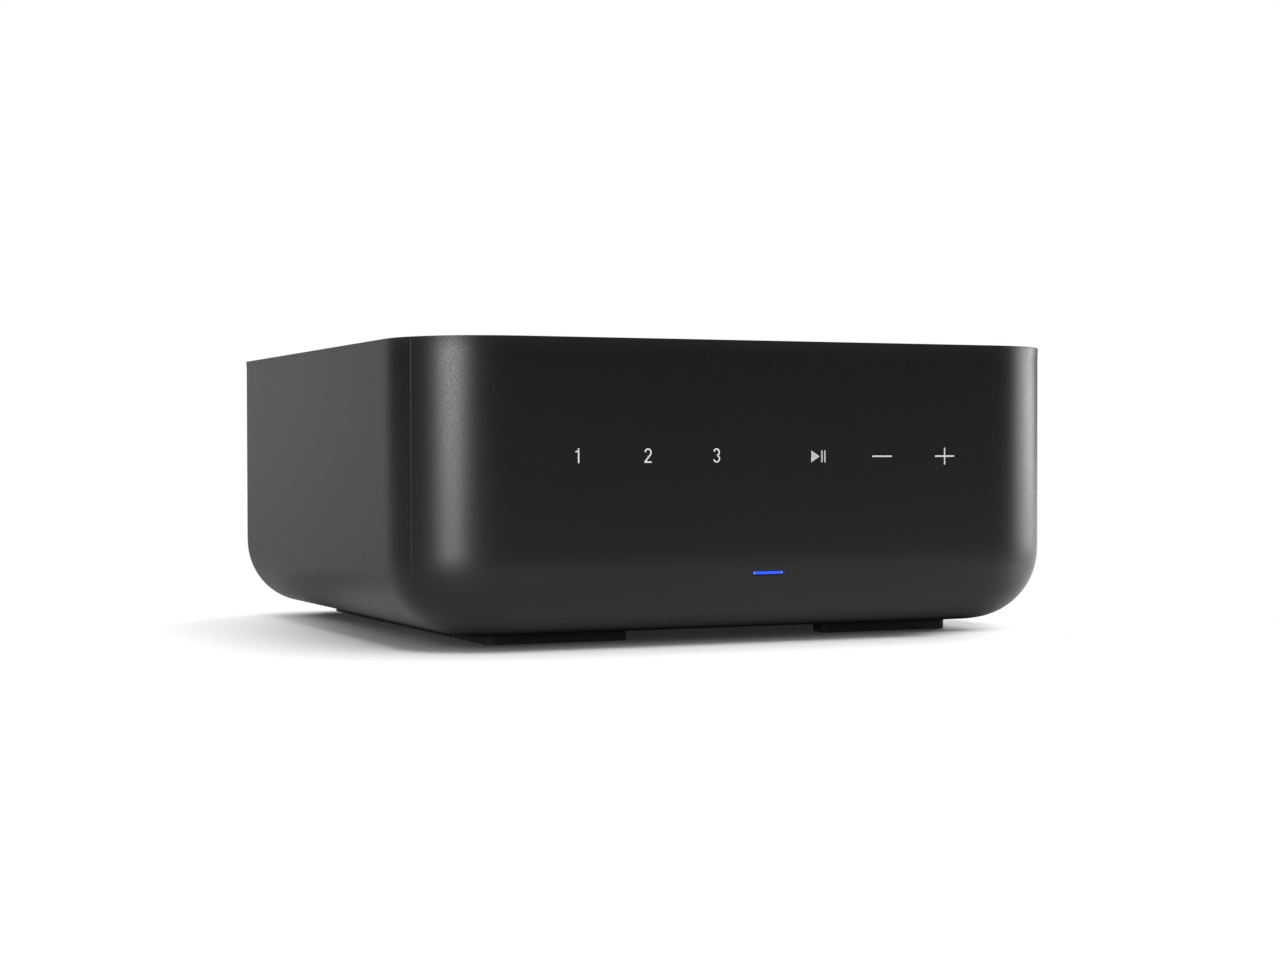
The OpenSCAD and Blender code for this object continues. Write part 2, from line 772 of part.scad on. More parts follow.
// Room round the sockets that stand on the main board, out through square holes in the rear panel
module socket_room() {
    for (s = board_sockets)
        block(
            s[0], socket_y - s[2] - cutout_gap, board_top_z - cutout_gap,
            s[1] + 2 * cutout_gap, s[2] + cutout_gap + bite, s[3] + 2 * cutout_gap
        );
}

// Room round the phono blocks, up to the rear panel
module phono_room() {
    for (b = phono_blocks)
        block(
            b[0], panel_in_y - phono_block_d - cutout_gap, board_top_z - cutout_gap,
            b[1] + 2 * cutout_gap, phono_block_d + cutout_gap, b[2] + 2 * cutout_gap
        );
}

// Rubber foot: a rail along the outer side, with a leg at its front and its back that points inwards
module foot(side) {
    l = cabinet_d - foot_front_inset - foot_rear_inset;
    leg_w = foot_w - foot_rail / 2;
    color("#101010") translate([foot_shift, front_y + foot_front_inset, 0]) mirror([1 - side, 0, 0])
        translate([foot_gap / 2, 0, 0]) linear_extrude(foot_h) {
            translate([foot_w - foot_rail, 0]) pad(foot_rail, l, foot_corner_r);
            for (y = [0, l - foot_leg])
                translate([0, y]) pad(leg_w, foot_leg, foot_end_r);
        }
}

module left_foot() {
    foot(-1);
}

module right_foot() {
    foot(1);
}

module cover_screws() {
    color("silver") at_towers() translate([0, 0, tower_top_z - tower_web]) rotate([180, 0, 0])
        screw(tower_web + cover_thread);
}

module rear_panel_screws() {
    color("#303030") at_panel_screws() translate([0, panel_y, 0]) rotate([-90, 0, 0])
        screw(panel_t + short_thread);
}

module main_board() {
    color("#1d4a2c") difference() {
        translate([-board_w / 2, board_front_y, board_z])
            cube([board_w, board_rear_y - board_front_y, board_t]);
        at_board_screws() translate([0, 0, board_top_z]) screw_hole(board_t);
        at_towers() translate([0, 0, board_z - bite])
            cylinder(r = tower_r + tower_gap, h = board_t + 2 * bite);
    }
}

module board_screws() {
    color("silver") at_board_screws() translate([0, 0, board_top_z]) screw(board_t + short_thread);
}

module board_chips() {
    color("#202020") {
        block(dac_x, dac_y - dac_s / 2, board_top_z, dac_s, dac_s, chip_h);
        for (k = [0, 1])
            block(amp_x, dac_y - dac_s / 2 + k * (amp_l + part_gap), board_top_z, amp_w, amp_l, chip_h);
    }
}

module clock_crystals() {
    color("silver")
        for (k = [0, 1])
            block(
                dac_x + (dac_s - crystal_l) / 2, dac_y + dac_s / 2 + part_gap + k * (crystal_w + part_gap),
                board_top_z, crystal_l, crystal_w, crystal_h
            );
}

module capacitors() {
    step = 2 * supply_cap_r + part_gap / 2;
    audio_step = 2 * audio_cap_r + part_gap / 2;
    color("#303a55") {
        for (i = [0, 1], j = [0, 1])
            translate([supply_cap_x + i * step, supply_cap_y + j * step, board_top_z])
                cylinder(r = supply_cap_r, h = supply_cap_h);
        for (i = [0, 1])
            translate([audio_cap_x - i * audio_step, audio_cap_y, board_top_z])
                cylinder(r = audio_cap_r, h = audio_cap_h);
    }
}

module inductors() {
    color("#3a3a3a")
        for (k = [0, 1])
            translate([inductor_x, supply_cap_y + k * (inductor_s + part_gap), board_top_z]) {
                block(0, -inductor_s / 2, 0, inductor_s, inductor_s, inductor_base);
                cylinder(d = inductor_s, h = inductor_h);
            }
}

module network_module() {
    color("#17374a") block(0, module_y - module_d / 2, module_z, module_w, module_d, module_t);
}

module module_headers() {
    color("#151515")
        for (side = sides)
            block(
                side * (module_w - header_w) / 2, module_y - module_d / 2, board_top_z,
                header_w, module_d, header_h
            );
}

module module_shield() {
    inner_s = shield_s - 2 * shield_t;
    color("silver") difference() {
        block(0, module_y - shield_s / 2, module_top_z, shield_s, shield_s, shield_h);
        block(0, module_y - inner_s / 2, module_top_z - bite, inner_s, inner_s, shield_h - shield_t + bite);
    }
}

module heat_sink() {
    fin_step = (sink_s - sink_fin_t) / (sink_fins - 1);
    color("#8a8d90") {
        block(0, module_y - sink_s / 2, shield_z, sink_s, sink_s, sink_base);
        for (k = [0 : sink_fins - 1])
            translate([-sink_s / 2 + k * fin_step, module_y - sink_s / 2, shield_z + sink_base / 2])
                cube([sink_fin_t, sink_s, sink_fin_h + sink_base / 2]);
    }
}

module antenna(side) {
    color("#c08a40")
        block(
            side * (aerial_x + aerial_t / 2), aerial_y - aerial_l / 2, aerial_z - aerial_h / 2,
            aerial_t, aerial_l, aerial_h
        );
}

module left_antenna() {
    antenna(-1);
}

module right_antenna() {
    antenna(1);
}

// Thin coaxial lead from the plug on the module to the aerial on the side wall
module antenna_lead(side) {
    start = [plug_x + plug_r + lead_gap, plug_y, module_top_z + plug_h / 2];
    end = [aerial_x - lead_gap, aerial_y, aerial_z];
    route = concat([for (p = lead_from_plug) start + p], [for (p = lead_to_aerial) end + p]);
    color("#222222") mirror([side < 0 ? 1 : 0, 0, 0]) tube(curve(route, lead_steps), lead_r, lead_sides);
}

module left_antenna_lead() {
    antenna_lead(-1);
}

module right_antenna_lead() {
    antenna_lead(1);
}

module antenna_plugs() {
    color("gold")
        for (side = sides)
            translate([side * plug_x, plug_y, module_top_z]) cylinder(r = plug_r, h = plug_h);
}

module touch_board() {
    color("#1d4a2c") difference() {
        block(0, touch_y, touch_bottom_z, touch_w, touch_board_t, touch_top_z - touch_bottom_z);
        at_touch_screws() translate([0, touch_back_y, 0]) rotate([-90, 0, 0]) screw_hole(touch_board_t);
    }
}

module touch_board_screws() {
    color("silver") at_touch_screws() translate([0, touch_back_y, 0]) rotate([-90, 0, 0])
        screw(touch_board_t + pad_t);
}

// Conductive foam pads that carry each key's field to the front wall
module touch_pads() {
    color("#3c3c40") at_keys() rod(0, front_y + wall, 0, pad_r, pad_t);
}

// Bar with round ends along +Y, grown by a gap
module light_bar(gap, y, l) {
    r = light_h / 2 + gap;
    run = light_w - light_h;
    block(0, y, light_z - r, run, l, 2 * r);
    for (side = sides)
        rod(side * run / 2, y, light_z, r, l);
}

// Clear bar whose face follows the rounded front, with a flange behind the wall
module light_pipe() {
    back = touch_y - lamp_t - lead_gap;
    flange_y = back - light_flange_t;
    color("#2f62ff") {
        intersection() {
            light_bar(0, front_y - bite, flange_y - front_y + 2 * bite);
            cabinet_form();
        }
        block(
            0, flange_y, light_z - light_h / 2 - light_flange,
            light_w + 2 * light_flange, light_flange_t, light_h + 2 * light_flange
        );
    }
}

module status_led() {
    color("white") block(0, touch_y - lamp_t, light_z - lamp_h / 2, lamp_w, lamp_t, lamp_h);
}

// Quarter bend of the ribbon round the X axis
module ribbon_quarter(y, z, turn) {
    translate([-ribbon_w / 2, y, z]) rotate([turn, 0, 0]) rotate([0, 90, 0]) rotate_extrude(angle = 90)
        translate([ribbon_bend_r - ribbon_t / 2, 0]) square([ribbon_t, ribbon_w]);
}

module ribbon_cable() {
    high_l = ribbon_mid_y - ribbon_bend_r - ribbon_start_y;
    low_y = ribbon_mid_y + ribbon_bend_r;
    color("#e4e2da") {
        block(0, ribbon_start_y, ribbon_high_z - ribbon_t / 2, ribbon_w, high_l, ribbon_t);
        ribbon_quarter(ribbon_mid_y - ribbon_bend_r, ribbon_low_z + ribbon_bend_r, 90);
        ribbon_quarter(low_y, ribbon_low_z + ribbon_bend_r, -90);
        block(0, low_y, ribbon_low_z - ribbon_t / 2, ribbon_w, ribbon_end_y - low_y, ribbon_t);
    }
}

module ribbon_sockets() {
    w = ribbon_w + 2 * ribbon_socket_side;
    color("#d8d4c4") {
        block(0, touch_back_y, ribbon_high_z - ribbon_socket_h / 2, w, ribbon_socket_l, ribbon_socket_h);
        block(0, ribbon_end_y, board_top_z, w, ribbon_socket_l, ribbon_socket_h);
    }
}

module power_inlet() {
    color("#161616") difference() {
        block(inlet_x, socket_y - inlet_d, board_top_z, inlet_w, inlet_d, inlet_h);
        rod(inlet_x, socket_y - inlet_bore_d, inlet_z, inlet_bore_r, inlet_bore_d + bite);
    }
}

module power_inlet_pin() {
    color("silver")
        rod(inlet_x, socket_y - inlet_bore_d, inlet_z, inlet_pin_r, inlet_bore_d - inlet_pin_back);
}

module ethernet_socket() {
    color("#b8babd") difference() {
        block(lan_x, socket_y - lan_d, board_top_z, lan_w, lan_d, lan_h);
        block(lan_x, socket_y - lan_mouth_d, lan_mouth_z, lan_mouth_w, lan_mouth_d + bite, lan_mouth_h);
        block(
            lan_x, socket_y - lan_mouth_d, lan_mouth_z - lan_latch_h,
            lan_latch_w, lan_mouth_d + bite, lan_latch_h + bite
        );
    }
}

// Sloping contact blades under the roof of the network socket
module ethernet_contacts() {
    roof_z = lan_mouth_z + lan_mouth_h;
    back = socket_y - lan_mouth_d;
    color("gold")
        for (k = [0 : lan_contacts - 1]) {
            x = lan_x + (k - (lan_contacts - 1) / 2) * lan_contact_pitch;
            translate([x - lan_contact_t / 2, back, roof_z])
                rotate([90, 0, 90]) linear_extrude(lan_contact_t)
                    polygon([[0, 0], [lan_contact_l, 0], [0, -lan_contact_drop]]);
        }
}

module usb_socket() {
    color("#c4c6c8") difference() {
        block(usb_x, socket_y - usb_d, board_top_z, usb_w, usb_d, usb_h);
        block(
            usb_x, socket_y - usb_d + usb_sheet, board_top_z + usb_sheet,
            usb_w - 2 * usb_sheet, usb_d, usb_h - 2 * usb_sheet
        );
    }
}

module usb_tongue() {
    top = board_top_z + usb_h - usb_sheet - usb_tongue_gap;
    color("#f0f0ee")
        block(
            usb_x, socket_y - usb_d + usb_sheet, top - usb_tongue_t,
            usb_tongue_w, usb_d - usb_sheet - usb_tongue_back, usb_tongue_t
        );
}

module optical_socket() {
    color("#1b1b1c") difference() {
        block(optical_x, socket_y - optical_d, board_top_z, optical_w, optical_d, optical_h);
        block(
            optical_x, socket_y - optical_mouth_d, optical_low_z,
            optical_mouth, optical_mouth_d + bite, optical_mouth
        );
        translate([optical_x - pin_l / 2, pin_y, pin_z]) rotate([0, 90, 0])
            cylinder(r = shutter_pin_r + screw_gap, h = pin_l);
    }
}

module optical_emitter() {
    z = (optical_top_z + optical_low_z) / 2;
    color("#c01818") rod(optical_x, socket_y - optical_mouth_d, z, emitter_r, emitter_l);
}

// Flap that closes the mouth, hanging from a knuckle on the pin
module optical_shutter() {
    plate_y = pin_y + knuckle_r - shutter_t;
    plate_low = optical_low_z + moving_gap;
    color("#28282a") difference() {
        union() {
            translate([optical_x - knuckle_w / 2, pin_y, pin_z]) rotate([0, 90, 0])
                cylinder(r = knuckle_r, h = knuckle_w);
            block(optical_x, plate_y, plate_low, knuckle_w, shutter_t, pin_z - plate_low);
            block(optical_x, plate_y, plate_low, shutter_w, shutter_t, pin_z - knuckle_r - plate_low);
        }
        translate([optical_x - shutter_w, pin_y, pin_z]) rotate([0, 90, 0])
            cylinder(r = shutter_pin_r + running_gap, h = 2 * shutter_w);
    }
}

module shutter_pin() {
    color("silver") translate([optical_x - pin_l / 2, pin_y, pin_z]) rotate([0, 90, 0])
        cylinder(r = shutter_pin_r, h = pin_l);
}

// Small coil round the pin beside the knuckle
module shutter_spring() {
    start_x = optical_x + knuckle_w / 2 + moving_gap;
    path = [
        for (i = [0 : spring_turns * spring_rings])
            let (turn = i / spring_rings)
                [
                    start_x + spring_pitch * turn,
                    pin_y + spring_r * cos(360 * turn),
                    pin_z + spring_r * sin(360 * turn)
                ]
    ];
    color("#9a9c9e") tube(path, spring_wire_r, spring_sides, [1, 0, 0]);
}

// Plastic blocks that stand on the main board behind the phono sockets
module phono_block() {
    color("#161617") difference() {
        for (b = phono_blocks)
            block(b[0], panel_in_y - phono_block_d, board_top_z, b[1], phono_block_d, b[2]);
        translate([phono_x, panel_in_y, phono_screw_z]) rotate([-90, 0, 0]) screw_hole(short_thread);
    }
}

module phono_sleeves() {
    color("#c9c3b0") at_phonos(phono_places) difference() {
        rod(0, ring_y, 0, phono_r, phono_end_y - ring_y);
        rod(0, ring_y - bite, 0, phono_r - phono_wall, phono_l + 2 * bite);
    }
}

// Coloured ring and core of one phono socket, with the hole for the plug's pin
module phono_insert() {
    difference() {
        union() {
            rod(0, panel_in_y, 0, ring_r, ring_y - panel_in_y);
            rod(0, panel_in_y, 0, phono_core_r, phono_core_y - panel_in_y);
        }
        rod(0, phono_core_y - phono_hole_d, 0, phono_hole_r, phono_hole_d + bite);
    }
}

module left_channel_inserts() {
    color("#e8e6e0") at_phonos(left_channel_places) phono_insert();
}

module right_channel_inserts() {
    color("#b02020") at_phonos(right_channel_places) phono_insert();
}

module digital_insert() {
    color("#d9771f") at_phonos(digital_places) phono_insert();
}

module phono_screw() {
    color("#303030") translate([phono_x, panel_y, phono_screw_z]) rotate([-90, 0, 0])
        screw(panel_t + short_thread);
}

module setup_button() {
    color("#303032") {
        rod(button_x, collar_back_y, button_z, collar_r, collar_t);
        rod(button_x, collar_back_y, button_z, button_r, panel_y + button_proud - collar_back_y);
    }
}

module setup_plunger() {
    color("#151515")
        rod(button_x, switch_y - plunger_seat, button_z, plunger_r, collar_back_y - switch_y + plunger_seat);
}

module setup_switch() {
    reach = plunger_seat + button_travel + moving_gap;
    color("#2c2c2e") difference() {
        block(button_x, switch_y - switch_d, board_top_z, switch_s, switch_d, switch_s);
        rod(button_x, switch_y - reach, button_z, plunger_r + running_gap, reach + bite);
    }
}

cabinet_shell();
top_cover();
rear_panel();
left_foot();
right_foot();
cover_screws();
rear_panel_screws();
main_board();
board_screws();
board_chips();
clock_crystals();
capacitors();
inductors();
network_module();
module_headers();
module_shield();
heat_sink();
left_antenna();
right_antenna();
left_antenna_lead();
right_antenna_lead();
antenna_plugs();
touch_board();
touch_board_screws();
touch_pads();
light_pipe();
status_led();
ribbon_cable();
ribbon_sockets();
power_inlet();
power_inlet_pin();
ethernet_socket();
ethernet_contacts();
usb_socket();
usb_tongue();
optical_socket();
optical_emitter();
optical_shutter();
shutter_pin();
shutter_spring();
phono_block();
phono_sleeves();
left_channel_inserts();
right_channel_inserts();
digital_insert();
phono_screw();
setup_button();
setup_plunger();
setup_switch();
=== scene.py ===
import math

import bmesh
import bpy
import numpy as np
from bpy.props import FloatProperty, FloatVectorProperty, PointerProperty
from mathutils import Matrix, Vector


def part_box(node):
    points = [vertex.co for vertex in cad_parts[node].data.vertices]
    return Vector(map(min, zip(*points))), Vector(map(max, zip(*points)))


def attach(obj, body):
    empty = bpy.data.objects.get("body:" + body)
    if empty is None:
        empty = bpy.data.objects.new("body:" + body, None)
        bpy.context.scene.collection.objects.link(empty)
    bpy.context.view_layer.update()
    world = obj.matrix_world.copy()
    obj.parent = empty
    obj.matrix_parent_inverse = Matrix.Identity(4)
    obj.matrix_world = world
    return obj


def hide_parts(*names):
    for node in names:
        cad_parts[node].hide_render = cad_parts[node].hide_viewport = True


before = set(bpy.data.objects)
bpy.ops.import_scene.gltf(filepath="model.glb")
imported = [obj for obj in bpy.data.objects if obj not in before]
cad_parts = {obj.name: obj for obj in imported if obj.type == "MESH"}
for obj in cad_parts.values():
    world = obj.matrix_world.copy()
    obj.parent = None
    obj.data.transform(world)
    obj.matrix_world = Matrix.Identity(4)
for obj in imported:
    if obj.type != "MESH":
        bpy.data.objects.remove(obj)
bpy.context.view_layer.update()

bl_info = {
    "name": "Network Music Streamer",
    "version": (1, 0, 0),
    "blender": (4, 5, 0),
    "location": "View3D > Sidebar > Streamer",
    "description": "Builds the looks of a compact network music streamer round its construction model",
    "category": "Object",
}

MM = 0.001

# Points along a round corner, along a straight run of the plan, up the bottom rounding and round a small edge
CORNER_POINTS = 65
STRAIGHT_POINTS = 14
FILLET_POINTS = 41
EDGE_POINTS = 6
# Points round a corner of an outline and along an arc of a mark
TURN_POINTS = 8
ARC_POINTS = 17
# Rings of the floor and points round each
FLOOR_RINGS = 23
FLOOR_POINTS = 64
# Edges that turn by more than this are shaded sharp
SHARP_ANGLE = math.radians(32)

# Arcs of the numbers: middle and reach as shares of half a number's width and height, and the ends' angles
FLAG_ARC = (-0.85, 1.05, 1.2, 0.47, -84, -15)
ARCH_ARC = (0.0, 0.46, 1.0, 0.54, 172, -34)
UPPER_BOWL = (-0.04, 0.5, 0.92, 0.5, 168, -90)
LOWER_BOWL = (-0.04, -0.5, 1.0, 0.5, 90, -168)
# The one's stem beside its middle, as a share of half its width, and its flag's share of the stem's stroke
STEM_PLACE = 0.35
FLAG_STROKE = 0.8
# How far the two's slant ends above its foot, as a share of the stroke
SLANT_LIFT = 0.3
# The play sign's left end in widths, its first bar after the tip in pitches, and its share of the marks' ink
PLAY_START = -0.78
BAR_START = 0.7
PLAY_SHADE = 0.85
# Stroke of the plus sign's upright bar, as a share of the level one's
UPRIGHT_STROKE = 0.9
# Share of the light bar's half height that rounds its ends
BAR_ROUND = 0.999
# How far the light bar's edge and its face stand out of the wall, and how far each is drawn in
BAR_STEPS = ((0.03 * MM, 0.03 * MM), (0.04 * MM, 0.08 * MM))
# How far the edge and face of the ring round the bar stand out of the wall; its colour is painted shade,
# faintly blue
SEAM_PROUD = (0.008 * MM, 0.01 * MM)
SEAM_PAINTED_SHADE = (0.004, 0.008, 0.03)
# Where the cover's flat starts, in radii of its edge, and the width of the band along it, in corner radii
COVER_FLAT = 1.5
COVER_BAND = 0.25
# Print on the rear panel: brackets above the sockets, and a line over three dashes above the inlet
BRACKET_LIFT = 2.2 * MM
BRACKET_DROP = 1.2 * MM
SIGN_LIFT = 3.0 * MM
SIGN_WIDTH = 4.0 * MM
SIGN_GAP = 0.9 * MM
DASH_PITCH = 1.5 * MM
DASH_WIDTH = 1.0 * MM
PRINT_PROUD = 0.02 * MM

# Part of a noise's range in which nearly all of it lies
NOISE_RANGE = (0.3, 0.7)
# Sizes in metres: a plastic's drift of colour, a metal's drawn lines and clouds, rubber's dust, ink's mottle
DRIFT_SIZE = 0.02
DRAWN_SIZE = 0.0002
CLOUD_SIZE = 0.004
DUST_SIZE = 0.0006
MOTTLE_SIZE = 0.00025
# Strength of a plastic's grain as bumps, and how far it spreads the roughness
GRAIN_STRENGTH = 0.5
GRAIN_SPREAD = 0.05
# Cells of a board's copper to the metre, and the distances from their edges between which the copper ends
COPPER_SCALE = 420.0
COPPER_EDGE = (0.03, 0.09)
# Roughness and gloss of the cabinet's satin plastic
SATIN = {"roughness": 0.37, "specular": 0.36}
WHITE = (1.0, 1.0, 1.0, 1.0)
BLACK = (0.0, 0.0, 0.0)
# Colour of the light's ends, how far it shows there, and how far from an end it starts, in heights of the bar
END_PAINT = (0.75, 0.85, 1.0)
END_SHARE = 0.5
END_LENGTH = 0.7

# Each lamp's place, the height that it faces above the middle of the floor, and its size, in metres
KEY_LAMP = ((0.15, -0.1, 1.25), 0.0, (1.1, 1.1))
LEFT_LAMP = ((-0.9, -0.63, 0.23), 0.1, (0.55, 0.5))
RIGHT_LAMP = ((1.1, -0.1, 0.07), 0.07, (0.85, 0.24))
REAR_LAMP = ((0.9, 0.9, 0.25), 0.0, (0.6, 0.5))
# Light that the floor shows above what it reflects
FLOOR_LIFT = 0.018
# Brightness that gloss sees behind the part, ahead of it, on the floor round it and on the far floor
BACK_GLOSS = 0.93
FRONT_GLOSS = 0.04
NEAR_GLOSS = 0.52
FAR_GLOSS = 0.58
# Factors on the floor that gloss sees, as painted reflection: just ahead, far ahead, at the right and in the
# shadow at the left
GLOSS_AHEAD = 1.8
GLOSS_FAR_AHEAD = 0.5
GLOSS_RIGHT = 3.1
GLOSS_LEFT = 0.6
# Depths under the part at which the floor that gloss sees is dark, as painted shade, and at which it is plain
SHADE_DEPTHS = (17.0 * MM, 1.5 * MM)
# Depths under the part at which painted light starts to thin its shadow and has thinned it, beside it and
# under a corner
BESIDE_DEPTHS = (15.5 * MM, -8.0 * MM)
CORNER_DEPTHS = (15.5 * MM, 4.0 * MM)
# Places from front to back at which painted light starts to thin the shadow beside the part and has thinned
# it
BESIDE_RANGE = (-25.0 * MM, 90.0 * MM)
# Where painted patches of the floor that gloss sees start and where they are full, in metres past the
# cabinet's sides
AHEAD_OF_FRONT = (0.0275, -0.0175)
RIGHT_OF_SIDE = (-0.02, 0.04)
RIGHT_BEHIND_FRONT = (-0.0375, -0.0025)
LEFT_INSIDE = (0.02, 0.005)
LEFT_OUTSIDE = (-0.03, -0.01)
LEFT_BEHIND_FRONT = (0.0675, 0.1075)
LEFT_BEFORE_BACK = (0.015, -0.005)
# Where painted light starts to thin the shadow under the right front corner and has thinned it, in corner
# radii from its sides
CORNER_FROM_SIDE = (-2.0, -0.7)
CORNER_FROM_FRONT = (1.5, 1.0)
# Backward parts of a direction between which gloss sees the surroundings turn from dark to bright
BACK_RANGE = (0.8, 1.04)

# Camera: lens, sensor and place in millimetres, shift in widths of the picture, clipping in metres
LENS = 62.89
SENSOR = 36.0
SHIFT = (-0.0031, 0.0105)
CLIP = (0.01, 50.0)
CAMERA_PLACE = (-206.61, -481.69, 38.47)
CAMERA_AHEAD = (0.40044, 0.91617, -0.01656)
CAMERA_UP = (0.00855, 0.01434, 0.99986)


# Sizes and colours that a user would change


def length(name, description, mm):
    """A length property that is given in millimetres and kept in metres."""
    return FloatProperty(name=name, description=description, default=mm * MM, unit="LENGTH", precision=5)


def colour(name, description, value):
    """A colour property in linear light."""
    settings = {"name": name, "description": description, "default": value}
    return FloatVectorProperty(subtype="COLOR", min=0, max=1, **settings)


def share(name, description, value, top=1.0):
    """A plain number between nothing and a top value."""
    return FloatProperty(name=name, description=description, default=value, min=0, max=top, precision=4)


def power(name, description, watts):
    """The power of a lamp."""
    return FloatProperty(name=name, description=description, default=watts, min=0, unit="POWER")


class CabinetSizes(bpy.types.PropertyGroup):
    """Form and finish of the moulded cabinet"""

    corner_radius: length("Corner radius", "Radius of the two upright front corners", 20.9)
    base_radius: length("Base radius", "Radius of the rounding along the bottom edge", 15.7)
    ease: share("Ease", "Share of a rounding's length over which its curve eases in and out", 0.16, 0.5)
    wall: length("Wall", "Thickness of the moulded wall", 2.5)
    rim: length("Rim", "Thickness of the rim left round the cover", 1.2)
    flare: length("Flare", "How far the wall leans out at its top", 0.12)
    flare_height: length("Flare height", "Height of the band that leans out", 2.8)
    edge: length("Edge", "Radius of the rim's outer edge", 0.12)
    rim_drop: length("Rim drop", "How far the rim lies below the cover's top", 0.05)
    line_depth: length("Mould line depth", "How far the mould's slide line stands proud", 0.021)
    line_width: length("Mould line width", "Width of the mould's slide line", 0.24)
    line_place: length("Mould line place", "How far the slide line lies ahead of the corner's start", 9.3)
    line_drift: share("Mould line drift", "How much the slide line falls back for each step inwards", 0.64)
    paint: colour("Colour", "Colour of the plastic", (0.0028, 0.0028, 0.003))


class CoverSizes(bpy.types.PropertyGroup):
    """Form and finish of the top cover"""

    thickness: length("Thickness", "Thickness of the cover", 2.5)
    gap: length("Gap", "Gap between the cover and the rim", 0.2)
    edge: length("Edge", "Radius of the cover's top edge", 0.15)
    paint: colour("Colour", "Colour of the plastic", (0.0028, 0.0028, 0.003))


class FootSizes(bpy.types.PropertyGroup):
    """Form and finish of the rubber feet"""

    rail: length("Rail", "Width of the rail along the outer side of a foot", 11.4)
    leg: length("Leg", "Depth of the legs at the front and the back of a foot", 5.7)
    corner_radius: length("Corner radius", "Radius of the rail's corners", 2.2)
    end_radius: length("End radius", "Radius of the corners at the legs' inner ends", 1.3)
    pocket_radius: length("Pocket radius", "Radius of the corners between the rail and its legs", 0.4)
    edge: length("Edge", "Radius of a foot's lower edge", 0.25)
    paint: colour("Colour", "Colour of the rubber", (0.009, 0.009, 0.009))


class MarkSizes(bpy.types.PropertyGroup):
    """Form and finish of the touch key marks"""

    first: length("First", "Distance of the inner marks from the middle", 11.58)
    pitch: length("Pitch", "Distance between neighbouring marks", 15.19)
    digit_height: length("Digit height", "Height of the numbers", 2.9)
    digit_width: length("Digit width", "Width of the numbers", 1.56)
    digit_stroke: length("Digit stroke", "Width of the numbers' lines", 0.29)
    digit_lift: length("Digit lift", "How far the numbers lie above the signs' middle", 0.24)
    sign_width: length("Sign width", "Width of the minus and plus signs", 4.72)
    sign_height: length("Sign height", "Height of the plus sign", 3.58)
    sign_stroke: length("Sign stroke", "Width of the minus and plus signs' lines", 0.33)
    play_width: length("Play width", "Width of the play sign's triangle", 1.98)
    play_height: length("Play height", "Height of the play sign's triangle and the bars after it", 2.48)
    bar_width: length("Bar width", "Width of a bar of the pause sign", 0.31)
    bar_pitch: length("Bar pitch", "Distance between the bars of the pause sign", 0.7)
    proud: length("Proud", "How far the print stands on the wall", 0.02)
    ink: colour("Colour", "Colour of the print", (0.44, 0.44, 0.44))
    # The numbers' and signs' own light is a painted glow that brightens the print
    digit_painted_glow: share("Numbers lit", "How strongly the numbers are lit from behind", 0.16)
    sign_painted_glow: share("Signs lit", "How strongly the signs are lit from behind", 0.03)


class LightSizes(bpy.types.PropertyGroup):
    """Form and finish of the status light"""

    width: length("Width", "Width of the light bar", 6.75)
    height: length("Height", "Height of the light bar", 0.62)
    shift: length("Shift", "How far the light bar lies to the right of the middle", 0.25)
    lift: length("Lift", "How far the light bar lies above its lamp", 0.13)
    # The gap round the bar is painted shade: a dark ring set lower than the bar, where the shade falls, as
    # wide as the seam
    drop: length("Drop", "How far the gap round the bar lies below the bar's middle", 0.09)
    depth: length("Depth", "How deep the bar reaches into the wall", 1.6)
    seam: length("Seam", "Width of the dark gap round the bar", 0.21)
    paint: colour("Colour", "Colour of the light", (0.035, 0.13, 1.0))
    power: share("Power", "Strength of the light", 0.8, 10.0)
    # The glow is painted light: the wall round the bar gives off blue light of its own
    glow: share("Glow", "Strength of the glow in the wall round the bar", 0.05)
    glow_reach: length("Glow reach", "How far the glow reaches", 1.1)


class PanelSizes(bpy.types.PropertyGroup):
    """Form and finish of the print on the rear panel"""

    stroke: length("Stroke", "Width of the printed lines", 0.4)
    paint: colour("Colour", "Colour of the panel", (0.011, 0.011, 0.0115))
    ink: colour("Ink", "Colour of the print", (0.5, 0.5, 0.5))


class StageSettings(bpy.types.PropertyGroup):
    """Floor, surroundings and lamps"""

    floor_radius: length("Floor radius", "Radius of the floor", 6000.0)
    floor_near: length("Floor near", "Where the floor's fade starts", 270.0)
    floor_paint: colour("Floor", "Colour of the floor", (0.85, 0.85, 0.85))
    world: share("World", "Strength of the even light from all round", 0.45, 4.0)
    key: power("Key lamp", "Power of the lamp overhead", 17.0)
    left: power("Left lamp", "Power of the lamp at the left front", 13.0)
    right: power("Right lamp", "Power of the lamp at the right", 4.6)
    rear: power("Rear lamp", "Power of the lamp behind", 52.0)


GROUPS = {
    "streamer_cabinet": CabinetSizes,
    "streamer_cover": CoverSizes,
    "streamer_feet": FootSizes,
    "streamer_marks": MarkSizes,
    "streamer_light": LightSizes,
    "streamer_panel": PanelSizes,
    "streamer_stage": StageSettings,
}


def sizes_of(group):
    """One of the scene's groups of sizes."""
    return getattr(bpy.context.scene, "streamer_" + group)


# Meshes


def grid_faces(rows, columns, close_columns=False):
    """Four-sided faces of a grid of points that are numbered row by row, with each row closed on request."""
    row = np.arange(rows - 1)[:, None]
    column = np.arange(columns if close_columns else columns - 1)[None, :]
    next_row, next_column = row + 1, (column + 1) % columns
    corners = np.broadcast_arrays(
        row * columns + column, row * columns + next_column,
        next_row * columns + next_column, next_row * columns + column,
    )
    return np.stack(corners, axis=-1).reshape(-1, 4)


def strip_faces(ring):
    """Faces across a ring of point numbers: strips between its first half and its turned second half."""
    half = len(ring) // 2
    left, right = np.asarray(ring)[:half], np.asarray(ring)[::-1][:half]
    return np.stack([left[:-1], left[1:], right[1:], right[:-1]], axis=1)


